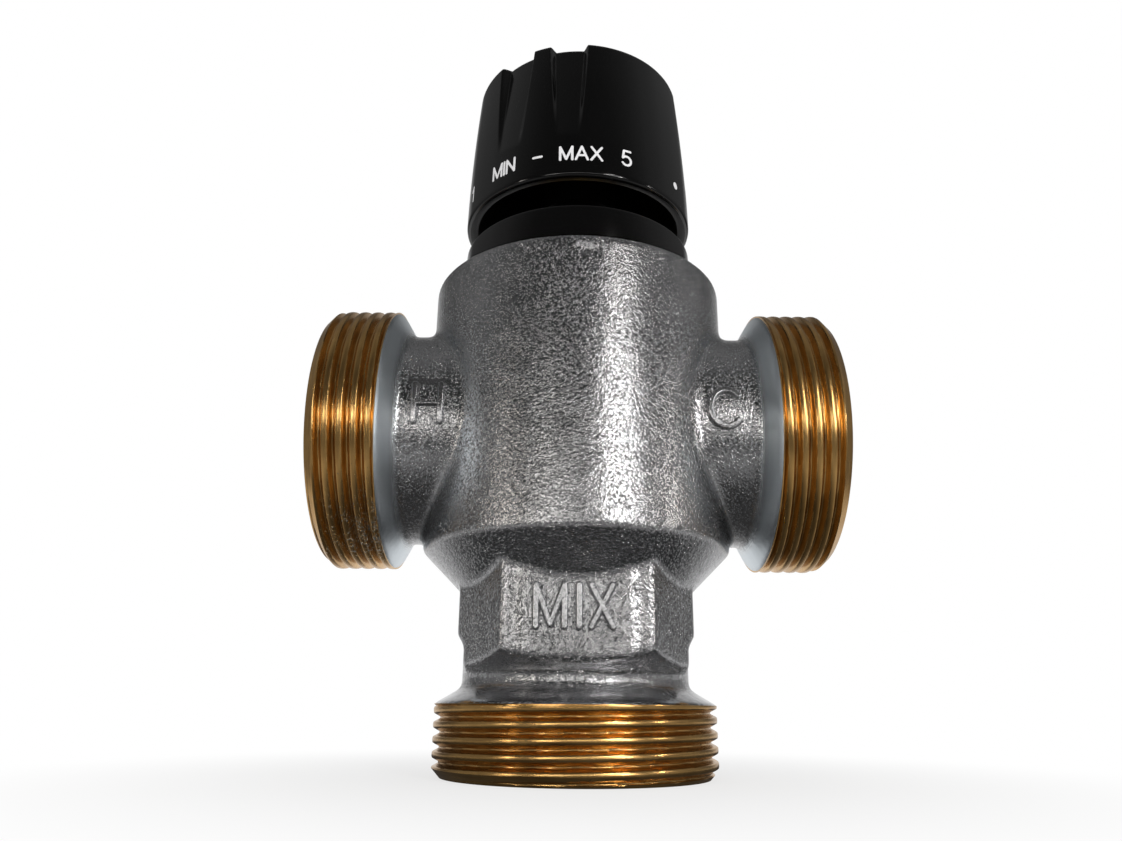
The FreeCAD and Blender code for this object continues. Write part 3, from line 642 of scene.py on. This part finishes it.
# How far the grip valleys cut in at height z and angle a (degrees): the way from the outside
# to a straight cone, times smooth((half width - distance) / grip edge + 0.5).
def gripDepth(z, a):
    k = knobSizes
    foot = knobRadius(k["gripFootZ"])
    share = np.clip((z - k["gripFootZ"]) / (k["topZ"] - k["edge"] - k["gripFootZ"]), 0, 1)
    core = foot + (k["coreTopRadius"] - foot) * share
    most = np.maximum(knobRadius(z) - core, 0) * (z > k["gripFootZ"])
    valley = np.zeros(np.broadcast(z, a).shape)
    for group in range(k["groups"]):
        for middle, half in k["valleys"]:
            width = half * (k["gripFootShare"] + (1 - k["gripFootShare"]) * share)
            off = np.abs((a - middle - group * 360 / k["groups"] + 180) % 360 - 180)
            valley = np.maximum(valley, smoothStep((width - off) / k["gripEdge"] + 0.5))
    return most * valley


# The knob as one closed ring of rows: a quarter round lip, the wall with its grips, a quarter
# round top edge and the inside. Each point is (r sin a, -r cos a, height).
def makeKnob():
    k = knobSizes
    lip = k["lip"]
    degrees = np.linspace(0, 360, k["columns"], endpoint=False)
    wallZ = np.linspace(k["lowZ"] + lip, k["topZ"] - k["edge"], k["wallRows"])
    wallR = knobRadius(wallZ[:, None]) - gripDepth(wallZ[:, None], degrees[None, :])
    wallZ = np.broadcast_to(wallZ[:, None], wallR.shape)
    t = np.radians(np.linspace(0, 90, k["edgeRows"])[1:])[:, None]
    edgeR = wallR[-1:] - k["edge"] * (1 - np.cos(t))
    edgeZ = k["topZ"] - k["edge"] * (1 - np.sin(t)) * np.ones_like(edgeR)
    lipT = np.radians(np.linspace(0, 90, k["lipRows"])[:-1])[:, None]
    lipR = wallR[:1] - lip * (1 - np.sin(lipT))
    lipZ = k["lowZ"] + lip * (1 - np.cos(lipT)) * np.ones_like(lipR)
    inside = np.array(k["inside"]) * mm
    ones = np.ones((1, len(degrees)))
    radius = np.concatenate([lipR, wallR, edgeR, inside[:, :1] * ones])
    height = np.concatenate([lipZ, wallZ, edgeZ, inside[:, 1:] * ones])
    a = np.radians(degrees)
    points = np.stack([radius * np.sin(a), -radius * np.cos(a), height], -1)
    knob = addPiece("dialKnob", meshFromGrid("dialKnob", points), k["sharpAngle"])
    knob.data.materials.append(finishes["black"])
    knob.data.materials.append(finishes["blackInside"])
    # faces past the glossy rings are the unpolished inside
    first = len(lipR) + len(wallR) + len(edgeR) + k["glossyRings"]
    row = np.arange(len(knob.data.polygons)) // len(degrees)
    knob.data.polygons.foreach_set("material_index", np.where(row >= first, 1, 0).astype(np.int32))
    return knob


dialSizes = {
    "baseline": 104.8 * mm,
    "wordHeight": 3.25 * mm,
    "figureHeight": 3.6 * mm,
    "stroke": 0.50 * mm,
    "gap": 0.24,               # between letters, as a share of their height
    "proud": 0.04 * mm,
    "under": 0.15 * mm,
    "slope": 0.06 * mm,        # width over which the ink's edge falls
    "margin": 0.5 * mm,
    "step": 0.055 * mm,
    # text or mark, and its angle round the knob (degrees)
    "words": (("MAX", 0.6), ("MIN", -39.5)),
    "figures": (("5", 22.6), ("4", 90.0), ("3", 157.0), ("2", 224.4), ("1", 291.6)),
    "markHeight": 1.55 * mm,   # of the dots and the dash, above the baseline
    "dots": (56.0, 123.5, 190.7, 258.0),
    "dotRadius": 0.75 * mm,
    "dotPatch": (1.6 * mm, 0.7 * mm, 2.4 * mm),     # width, foot and top
    "dash": -20.3,
    "dashHalf": (0.8 * mm, 0.26 * mm),              # half length and half stroke
    "dashPatch": (2.2 * mm, 1.2 * mm, 1.9 * mm),
}


# Strokes of each letter for a height of 1, and its width.
letterShapes = {
    "M": ([((0, 0), (0, 1)), ((0, 1), (0.40, 0.04)), ((0.40, 0.04), (0.80, 1)),
           ((0.80, 1), (0.80, 0))], 0.80),
    "A": ([((0, 0), (0.39, 1)), ((0.39, 1), (0.78, 0)), ((0.13, 0.32), (0.65, 0.32))], 0.78),
    "X": ([((0, 0), (0.70, 1)), ((0.02, 1), (0.72, 0))], 0.72),
    "I": ([((0, 0), (0, 1))], 0.0),
    "N": ([((0, 0), (0, 1)), ((0, 1), (0.64, 0)), ((0.64, 0), (0.64, 1))], 0.64),
    "1": ([((0, 0.76), (0.26, 1)), ((0.26, 1), (0.26, 0))], 0.26),
    "2": (arcStrokes(0.28, 0.71, 0.28, 0.29, 165, -30) + [((0.52, 0.57), (0, 0)),
                                                        ((0, 0), (0.58, 0))], 0.58),
    "3": (arcStrokes(0.27, 0.75, 0.24, 0.25, 155, -90)
          + arcStrokes(0.27, 0.25, 0.28, 0.25, 90, -155), 0.55),
    "4": ([((0.44, 0), (0.44, 1)), ((0.44, 1), (0, 0.28)), ((0, 0.28), (0.60, 0.28))], 0.60),
    "5": ([((0.54, 1), (0.12, 1)), ((0.12, 1), (0.04, 0.50))]
          + arcStrokes(0.27, 0.31, 0.29, 0.31, 140, -150), 0.56),
}


# Strokes of a whole word, centred on x = 0 with its foot on y = 0, in metres.
def wordStrokes(text, height):
    gap = dialSizes["gap"]
    total = sum(letterShapes[c][1] for c in text) + gap * (len(text) - 1)
    x = -total / 2
    strokes = []
    for c in text:
        shape, width = letterShapes[c]
        strokes += [(((ax + x) * height, ay * height), ((bx + x) * height, by * height))
                    for (ax, ay), (bx, by) in shape]
        x += width + gap
    return strokes, total * height


# Ink on the knob: a patch that stands proud over the strokes and dips into the wall between
# them, by proud - (proud + under) * smooth(distance / slope + 0.5). A flat point (u, v) goes
# to angle a0 + u / r and height baseline + v.
def inkPatch(strokes, width, low, high, halfStroke, degrees):
    d = dialSizes
    margin = d["margin"]
    u = np.arange(-width / 2 - margin, width / 2 + margin, d["step"])
    v = np.arange(low - margin, high + margin, d["step"])
    vv, uu = np.meshgrid(v, u, indexing="ij")
    away = strokeDistance(uu, vv, strokes) - halfStroke
    height = d["proud"] - (d["proud"] + d["under"]) * smoothStep(away / d["slope"] + 0.5)
    z = d["baseline"] + vv
    r = knobRadius(z)
    a = math.radians(degrees) + uu / r
    r = r + height
    points = np.stack([r * np.sin(a), -r * np.cos(a), z], -1)
    return meshFromGrid("ink", points, False, False)


# The words, figures, dots and dash round the foot of the knob, as one mesh.
def makeDialPrint():
    d = dialSizes
    half = d["stroke"] / 2
    meshes = []
    marks = [(t, a, d["wordHeight"]) for t, a in d["words"]]
    marks += [(t, a, d["figureHeight"]) for t, a in d["figures"]]
    for text, degrees, height in marks:
        inner = height - d["stroke"]
        strokes, width = wordStrokes(text, inner)
        strokes = [((ax, ay + half), (bx, by + half)) for (ax, ay), (bx, by) in strokes]
        meshes.append(inkPatch(strokes, width, 0, height, half, degrees))
    middle = d["markHeight"]
    spot = [((0, middle), (0.001 * mm, middle))]    # so short a stroke is a round dot
    for degrees in d["dots"]:
        meshes.append(inkPatch(spot, *d["dotPatch"], d["dotRadius"], degrees))
    halfLength, halfStroke = d["dashHalf"]
    dash = [((-halfLength, middle), (halfLength, middle))]
    meshes.append(inkPatch(dash, *d["dashPatch"], halfStroke, d["dash"]))
    return addPiece("dialPrint", joinMeshes("dialPrint", meshes))


# Radius and height of each corner, and how much of it is rounded (mm).
shroudSizes = {
    "corners": ((8.4, 94.2), (18.7, 94.2), (18.7, 87.22), (22.1, 87.22), (22.1, 96.0), (8.4, 96.0)),
    "rounds": (0.1, 0.3, 0.15, 0.25, 0.7, 0.3),
    "columns": 256,
    "sharpAngle": 40,
}
capSizes = {
    "corners": ((poleRing, 128.92), (7.97, 128.92), (7.97, 130.22), (11.97, 130.22),
                (11.97, 132.6), (poleRing, 132.6)),
    "rounds": (0, 0.3, 0.1, 0.1, 0.5, 0),
    "columns": 256,
    "sharpAngle": 40,
}


# A cover turned from its corners, each rounded by the curve of roundCorners.
def roundCover(name, sizes):
    profile = roundCorners(np.array(sizes["corners"]) * mm, np.array(sizes["rounds"]) * mm)
    mesh = turnedMesh(name, profile, sizes["columns"])
    return addPiece(name, weld(mesh, 0.002 * mm), sizes["sharpAngle"])


platingLook = {
    "dark": (0.33, 0.33, 0.335),
    "light": (0.52, 0.52, 0.53),
    "flare": (0.74, 0.80, 0.84),
    "roughness": 0.13,
    "flareRoughness": 0.36,
    "grainSize": 0.44 * mm,
    "grainDepth": 0.048 * mm,
    "speckSize": 0.40 * mm,
    "speckHeight": 0.40 * mm,
    "smoothFrom": 29.9 * mm,   # the side flares beyond this are fairly smooth
    "smoothBelow": 14.3 * mm,
    "smoothRate": 700,         # how fast one turns into the other, shares for each metre
    "broadScale": 110,         # turns of the broad pattern for each metre
    "fineShare": 0.6,          # of the colour pattern
    "ramp": (0.36, 0.62),      # pattern values that are all dark and all light
    "glossSpread": 0.10,
    "flareGrain": 0.2,         # share of the grain that the flares keep
    "speckFrom": 0.53,         # pattern value above which a speck rises
    "waveScale": 300,
    "waveHeight": 0.20 * mm,
    "waveStrength": 0.3,
}


# Share of smooth plating on the two side flares, and of rough cast grain, which is 1 on the
# body and 0 on all three flares.
def plainShares(material, where):
    parts = addNode(material, "ShaderNodeSeparateXYZ")
    join(material, where, parts.inputs[0])
    aside = mathNode(material, "ABSOLUTE", parts.outputs["X"])
    past = mathNode(material, "SUBTRACT", aside, platingLook["smoothFrom"])
    side = mathNode(material, "MULTIPLY", past, platingLook["smoothRate"], clamp=True)
    below = mathNode(material, "SUBTRACT", platingLook["smoothBelow"], parts.outputs["Z"])
    low = mathNode(material, "MULTIPLY", below, platingLook["smoothRate"], clamp=True)
    flare = mathNode(material, "MAXIMUM", side, low)
    cast = mathNode(material, "SUBTRACT", 1.0, flare, clamp=True)
    return side, cast


# Cast skin under bright plating: low lumps, with small steep grains that catch the light.
# Share is how much of both there is, and worn is added roughness.
def platedCasting(name="platedCasting", share=1.0, worn=0.0):
    look = platingLook
    material, shader = newMaterial(name, Metallic=1.0)
    where = objectPosition(material)
    side, cast = plainShares(material, where)
    broad = noiseValue(material, where, look["broadScale"], detail=3)
    fine = noiseValue(material, where, 1 / look["grainSize"], detail=3, rough=0.6)
    tone = mixValues(material, broad, fine, look["fineShare"])
    colour = colourRamp(material, tone, zip(look["ramp"], (look["dark"], look["light"])))
    join(material, mixColours(material, side, colour, look["flare"]), shader.inputs["Base Color"])
    spread = look["glossSpread"]
    gloss = mathNode(material, "ADD", mathNode(material, "MULTIPLY", broad, spread),
                     look["roughness"] - spread / 2 + worn)
    more = mathNode(material, "MULTIPLY", side, look["flareRoughness"] - look["roughness"])
    join(material, mathNode(material, "ADD", gloss, more), shader.inputs["Roughness"])
    lumps = noiseValue(material, where, 1 / look["grainSize"], detail=3, rough=0.55)
    kept = look["flareGrain"]
    some = mathNode(material, "ADD",
                    mathNode(material, "MULTIPLY", cast, (1 - kept) * share), kept * share)
    lumps = mathNode(material, "MULTIPLY", lumps, some)
    first = bumpFrom(material, shader, lumps, look["grainDepth"] * 2)
    specks = noiseValue(material, where, 1 / look["speckSize"], rough=0.6)
    specks = mathNode(material, "SUBTRACT", specks, look["speckFrom"], clamp=True)
    specks = mathNode(material, "MULTIPLY", specks, mathNode(material, "MULTIPLY", cast, share))
    second = bumpFrom(material, shader, specks, look["speckHeight"], before=first)
    waves = noiseValue(material, where, look["waveScale"])
    bumpFrom(material, shader, waves, look["waveHeight"], look["waveStrength"], second)
    return material


brassLook = {
    "dark": (0.42, 0.240, 0.082),
    "light": (0.74, 0.450, 0.165),
    "ramp": (0.34, 0.64),
    "roughness": 0.25,
    "glossSpread": 0.16,
    "turnedScale": 2200,       # turns of the tool's pattern for each metre along the axis
    "drawnOut": 0.05,          # its scale round the axis, as a share of that
    "turnedShare": 0.45,       # of the colour pattern
    "turnedHeight": 0.03 * mm,
    "turnedStrength": 0.5,
    "broadScale": 130,
    "burrPlace": (-33.5 * mm, -12.0 * mm, 39.0 * mm),
    "burrReach": 9.0 * mm,
    "burr": (0.62, 0.60, 0.55),
    "burrScale": 1900,
    "burrFrom": 0.48,          # pattern value above which there is a scrap, at the middle
    "burrFall": 0.14,          # how much more it takes at the reach
    "burrSharp": 14.0,
    "burrHeight": 0.15 * mm,
}


# Bare metal cut in a lathe: the tool's fine pattern is drawn out round the axis of the end,
# and pale scraps of burr lie round one place.
def cutBrass(name, axis):
    look = brassLook
    drawn = look["drawnOut"]
    material, shader = newMaterial(name, Metallic=1.0)
    where = objectPosition(material)
    stretch = addNode(material, "ShaderNodeMapping",
                      Scale=(1.0, drawn, drawn) if axis == "x" else (drawn, drawn, 1.0))
    join(material, where, stretch.inputs["Vector"])
    turned = noiseValue(material, stretch.outputs[0], look["turnedScale"], detail=3, rough=0.6)
    broad = noiseValue(material, where, look["broadScale"], detail=3, rough=0.6)
    tone = mixValues(material, broad, turned, look["turnedShare"])
    colour = colourRamp(material, tone, zip(look["ramp"], (look["dark"], look["light"])))
    away = addNode(material, "ShaderNodeVectorMath", operation="DISTANCE")
    join(material, where, away.inputs[0])
    away.inputs[1].default_value = look["burrPlace"]
    fall = mathNode(material, "MULTIPLY", away.outputs["Value"],
                    look["burrFall"] / look["burrReach"])
    bits = noiseValue(material, where, look["burrScale"], detail=3, rough=0.6)
    scraps = mathNode(material, "SUBTRACT", bits,
                      mathNode(material, "ADD", fall, look["burrFrom"]))
    scraps = mathNode(material, "MULTIPLY", scraps, look["burrSharp"], clamp=True)
    join(material, mixColours(material, scraps, colour, look["burr"]), shader.inputs["Base Color"])
    gloss = mathNode(material, "MULTIPLY", turned, look["glossSpread"])
    join(material, mathNode(material, "ADD", gloss, look["roughness"] - look["glossSpread"] / 2),
         shader.inputs["Roughness"])
    first = bumpFrom(material, shader, turned, look["turnedHeight"], look["turnedStrength"])
    bumpFrom(material, shader, scraps, look["burrHeight"], before=first)
    return material


plainLook = {
    "toneSpread": 0.2,         # plain dark tones go this share up and down
    "ramp": (0.3, 0.7),
    "blackIor": 1.45,
    "blackScale": 60,
    "blackWave": (140, 0.12 * mm, 0.15),      # scale for each metre, height, strength
    "inkTones": ((0.3, (0.74, 0.74, 0.76)), (0.6, (0.86, 0.86, 0.88))),
    "inkScale": 3000,
    "inkRoughness": 0.5,
    "metalScale": 400,
    "metalRings": (2200, 0.02 * mm, 0.4),
    "plasticScale": 300,
    "plasticGrain": (1500, 0.03 * mm, 0.4),
}


# A ramp from a little under a grey tone to a little over it.
def greyRamp(material, source, tone):
    spread = plainLook["toneSpread"]
    greys = ((tone * (1 - spread),) * 3, (tone * (1 + spread),) * 3)
    return colourRamp(material, source, zip(plainLook["ramp"], greys))


# Black plastic with a faint waviness.
def glossBlack(name="glossBlack", tone=0.0018, roughness=0.13):
    material, shader = newMaterial(name, Roughness=roughness, IOR=plainLook["blackIor"])
    where = objectPosition(material)
    broad = noiseValue(material, where, plainLook["blackScale"])
    join(material, greyRamp(material, broad, tone), shader.inputs["Base Color"])
    scale, height, strength = plainLook["blackWave"]
    bumpFrom(material, shader, noiseValue(material, where, scale), height, strength)
    return material


# White print, slightly uneven.
def whiteInk():
    material, shader = newMaterial("whiteInk", Roughness=plainLook["inkRoughness"])
    speck = noiseValue(material, objectPosition(material), plainLook["inkScale"])
    join(material, colourRamp(material, speck, plainLook["inkTones"]), shader.inputs["Base Color"])
    return material


# Turned or drawn metal with fine rings round Z.
def machinedMetal(name, low, high, roughness):
    material, shader = newMaterial(name, Metallic=1.0, Roughness=roughness)
    where = objectPosition(material)
    tone = noiseValue(material, where, plainLook["metalScale"], detail=3)
    join(material, colourRamp(material, tone, zip(plainLook["ramp"], (low, high))),
         shader.inputs["Base Color"])
    scale, height, strength = plainLook["metalRings"]
    rings = addNode(material, "ShaderNodeTexWave", wave_type="RINGS", rings_direction="Z",
                    Scale=scale, Distortion=1.0)
    join(material, where, rings.inputs["Vector"])
    bumpFrom(material, shader, rings.outputs["Fac"], height, strength)
    return material


# Moulded plastic or rubber with a fine grain.
def mouldedPlastic(name, tone, roughness):
    material, shader = newMaterial(name, Roughness=roughness)
    where = objectPosition(material)
    shade = noiseValue(material, where, plainLook["plasticScale"], detail=3)
    join(material, greyRamp(material, shade, tone), shader.inputs["Base Color"])
    scale, height, strength = plainLook["plasticGrain"]
    bumpFrom(material, shader, noiseValue(material, where, scale), height, strength)
    return material


finishes = {
    "plated": platedCasting(),
    "platedLetters": platedCasting("platedLetters", share=0.15, worn=0.12),
    "sideBrass": cutBrass("cutBrassSide", "x"),
    "footBrass": cutBrass("cutBrassFoot", "z"),
    "black": glossBlack(),
    "blackInside": glossBlack("mattBlack", tone=0.003, roughness=0.5),
    "ink": whiteInk(),
    "plainBrass": machinedMetal("turnedBrass", (0.50, 0.33, 0.11), (0.62, 0.43, 0.16), 0.28),
    "copper": machinedMetal("capsuleCopper", (0.55, 0.28, 0.15), (0.68, 0.38, 0.22), 0.3),
    "steel": machinedMetal("brightSteel", (0.48, 0.48, 0.49), (0.60, 0.60, 0.61), 0.25),
    "wire": machinedMetal("springWire", (0.30, 0.30, 0.31), (0.42, 0.42, 0.43), 0.35),
    "rubber": mouldedPlastic("sealRubber", tone=0.02, roughness=0.55),
    "plastic": mouldedPlastic("greyPlastic", tone=0.10, roughness=0.45),
}
print("finishes made")

nodeFinishes = {
    "lower_seat": "plainBrass", "seat_o_ring": "rubber", "outlet_guide": "plastic",
    "return_spring": "wire", "shutter": "plastic", "shutter_o_ring": "rubber",
    "wax_capsule": "copper", "capsule_clip": "steel", "capsule_pin": "steel",
    "bonnet": "plainBrass", "bonnet_o_ring": "rubber", "carriage": "plainBrass",
    "overtravel_spring": "wire", "spring_cup": "steel", "cup_ring": "steel",
    "spindle": "plainBrass", "spindle_o_rings": "rubber", "spindle_circlip": "steel",
    "thrust_washer": "steel", "knob_screw": "steel", "screw_washer": "steel",
}


def dressNodes():
    for nodeName, finish in nodeFinishes.items():
        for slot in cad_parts[nodeName].material_slots:
            slot.material = finishes[finish]


def finishPiece(obj, finish, body, slotName, *nodes):
    obj.data.materials.clear()
    obj.data.materials.append(finishes[finish])
    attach(obj, body)
    if nodes:
        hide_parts(*nodes)


dressNodes()
finishPiece(makeCasting(), "plated", "valve", "plated_casting", "body")
print("casting done")

xAxis = np.array([1.0, 0, 0])
yAxis = np.array([0, 1.0, 0])
zAxis = np.array([0, 0, 1.0])
sideFace = valveSizes["faceToAxis"]
portMiddle = valveSizes["portHeight"]
ends = (
    ("hotThread", (-sideFace, 0, portMiddle), -xAxis, yAxis, "sideBrass"),
    ("coldThread", (sideFace, 0, portMiddle), xAxis, yAxis, "sideBrass"),
    ("mixThread", (0, 0, 0), -zAxis, xAxis, "footBrass"),
)
for endName, face, outward, side, finish in ends:
    finishPiece(threadedEnd(endName, face, outward, side), finish, "valve", "plain_brass")
print("threads done")

letter = letterSizes
openC = letter["openC"]
arcC = arcStrokes(0, 0, *letter["C"], openC, 360 - openC, letter["cornersC"])
for piece in (
    letterPatch("letterH", strokesH(*letter["H"]), letter["patchH"], onNeck(*letter["placeH"])),
    letterPatch("letterC", arcC, letter["patchC"], onNeck(*letter["placeC"])),
    letterPatch("lettersMix", strokesMix(letter["MIX"]), letter["patchMix"], onPanel),
):
    finishPiece(piece, "platedLetters", "valve", "plated_casting")
print("letters done")

knob = makeKnob()
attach(knob, "dial")
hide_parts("knob")
finishPiece(makeDialPrint(), "ink", "dial", "black_plastic")
finishPiece(roundCover("dialCap", capSizes), "black", "dial", "black_plastic", "knob_cap")
finishPiece(roundCover("blackShroud", shroudSizes), "black", "valve", "black_plastic", "shroud")
print("knob and covers done")


studio = {
    "floorSize": 0.30,
    "floorDrop": 0.02 * mm,
    "floorTone": 0.80,
    "floorRoughness": 0.9,
    "shadowReach": (0.025, 0.11),  # the shadow fades between these, and beyond it is white
    "shadowWhite": 0.72,      # white that is mixed into the shadow itself
    "level": 0.60,            # plain light on matt surfaces from all round
    # what polished surfaces see, from straight in front (0) to straight behind (1)
    "mirrored": ((0.0, 0.04), (0.20, 0.06), (0.42, 0.20), (0.60, 0.20), (0.84, 0.09), (1.0, 1.0)),
    # painted glow that polished surfaces see on the floor, from straight in front (0) to straight
    # behind (1)
    "mirroredFloor": ((0.0, 0.10), (0.20, 0.13), (0.34, 0.50), (0.50, 0.55), (1.0, 1.0)),
    "mirroredSpan": 0.25,     # from the part to the front and the back of that floor
    "paintedShadowReach": (0.045, 0.120),   # painted shadow: polished surfaces see the floor's glow darkened close to the part
    # share of the floor's glow that the painted shadow keeps at its darkest
    "paintedShadowShare": 0.10,
    # direction right of the front, height above level (degrees), width, height, brightness, colour
    "boxes": {
        "keyBox": (33, 9, 0.18, 0.25, 3.2, (1.0, 1.0, 1.0)),
        "lowBox": (-3, 4, 0.52, 0.055, 3.6, (1.0, 0.98, 0.95)),
        "leftBox": (-24, 4, 0.14, 0.06, 8.0, (1.0, 0.97, 0.92)),
        "lampRight": (31, 24, 0.04, 0.04, 40.0, (1.0, 0.98, 0.95)),
        "lampMiddle": (26, 14, 0.035, 0.035, 80.0, (1.0, 0.98, 0.95)),
        "lampLow": (38, 4, 0.035, 0.035, 80.0, (1.0, 0.98, 0.95)),
        "lampLeft": (-53, 4, 0.05, 0.14, 11.0, (1.0, 0.94, 0.86)),
        "lampFar": (68, 8, 0.03, 0.05, 50.0, (1.0, 0.97, 0.93)),
    },
    "boxDistance": 0.65,
    "boxAim": (0, 0, 0.06),
}


# Brightness that polished surfaces see, from y = -1 in front to y = 1 behind.
def mirroredTone(owner, y, stops):
    greys = [(place, (tone,) * 3) for place, tone in stops]
    return colourRamp(owner, mapRange(owner, y, -1, 1), greys)


# 1 for the rays by which polished and clear surfaces see, and 0 for all others.
def mirroredRay(owner, path):
    return mathNode(owner, "MAXIMUM", path.outputs["Is Glossy Ray"],
                    path.outputs["Is Transmission Ray"])


# The floor gets white added for the camera: most of it near the part, so that the shadow
# stays, and all of it past the shadow's reach. Polished surfaces see instead a painted glow in its
# mirrored tones, with a painted shadow close to the part.
def makeFloor():
    half = studio["floorSize"]
    z = -studio["floorDrop"]
    mesh = bpy.data.meshes.new("floor")
    mesh.from_pydata([(-half, -half, z), (half, -half, z), (half, half, z), (-half, half, z)], [],
                     [(0, 1, 2, 3)])
    floor = showObject("floor", mesh)
    material, shader = newMaterial("paleFloor", Roughness=studio["floorRoughness"])
    shader.inputs["Base Color"].default_value = (studio["floorTone"],) * 3 + (1,)
    output = [n for n in material.node_tree.nodes if n.type == "OUTPUT_MATERIAL"][0]
    path = addNode(material, "ShaderNodeLightPath")
    where = objectPosition(material)
    length = addNode(material, "ShaderNodeVectorMath", operation="LENGTH")
    join(material, where, length.inputs[0])
    away = length.outputs["Value"]

    white = addNode(material, "ShaderNodeEmission", Strength=1.0)
    fade = mapRange(material, away, *studio["shadowReach"], studio["shadowWhite"], 1, "SMOOTHSTEP")
    share = mathNode(material, "MULTIPLY", path.outputs["Is Camera Ray"], fade)
    seen = mixShaders(material, share, shader, white)

    # Painted reflection: for polished surfaces the floor glows in graded tones, though it is no
    # lamp.
    parts = addNode(material, "ShaderNodeSeparateXYZ")
    join(material, where, parts.inputs[0])
    along = mathNode(material, "DIVIDE", parts.outputs["Y"], studio["mirroredSpan"])
    tone = mirroredTone(material, along, studio["mirroredFloor"])
    # painted shadow: the glow that polished surfaces see is darkened close to the part
    near = mapRange(material, away, *studio["paintedShadowReach"], studio["paintedShadowShare"], 1, "SMOOTHSTEP")
    paintedFloorGlow = addNode(material, "ShaderNodeEmission")
    join(material, mathNode(material, "MULTIPLY", tone, near), paintedFloorGlow.inputs["Strength"])
    whole = mixShaders(material, mirroredRay(material, path), seen, paintedFloorGlow)
    join(material, whole.outputs[0], output.inputs["Surface"])
    mesh.materials.append(material)


# Surroundings: white to the camera. Glossy and transmission rays see the mirrored tones, a dim
# room in front, grey at the sides and white straight behind. All else gets one plain level.
def makeSurroundings():
    world = bpy.data.worlds.new("studioWorld")
    bpy.context.scene.world = world
    world.use_nodes = True
    world.node_tree.nodes.clear()
    output = addNode(world, "ShaderNodeOutputWorld")
    plain, seen, white = (addNode(world, "ShaderNodeBackground", Color=(1, 1, 1, 1), Strength=level)
                          for level in (studio["level"], 1.0, 1.0))
    path = addNode(world, "ShaderNodeLightPath")
    split = addNode(world, "ShaderNodeSeparateXYZ")
    join(world, addNode(world, "ShaderNodeTexCoord").outputs["Generated"], split.inputs[0])
    join(world, mirroredTone(world, split.outputs["Y"], studio["mirrored"]),
         seen.inputs["Strength"])
    lit = mixShaders(world, mirroredRay(world, path), plain, seen)
    whole = mixShaders(world, path.outputs["Is Camera Ray"], lit, white)
    join(world, whole.outputs[0], output.inputs["Surface"])


# An area light of a given brightness: power = brightness * pi * area.
def makeSoftbox(name, right, up, width, height, brightness, colour):
    data = bpy.data.lights.new(name, "AREA")
    data.shape = "RECTANGLE"
    data.size = width
    data.size_y = height
    data.energy = brightness * math.pi * width * height
    data.color = colour
    light = showObject(name, data)
    a = math.radians(right)
    b = math.radians(up)
    away = Vector((math.sin(a) * math.cos(b), -math.cos(a) * math.cos(b), math.sin(b)))
    place = Vector(studio["boxAim"]) + away * studio["boxDistance"]
    turn = (-away).to_track_quat("-Z", "Y").to_matrix().to_4x4()
    light.matrix_world = Matrix.Translation(place) @ turn
    light.visible_camera = False


makeFloor()
makeSurroundings()
for boxName, boxValues in studio["boxes"].items():
    makeSoftbox(boxName, *boxValues)
bpy.context.scene.view_settings.view_transform = "Standard"
print("studio done")

bpy.context.view_layer.update()
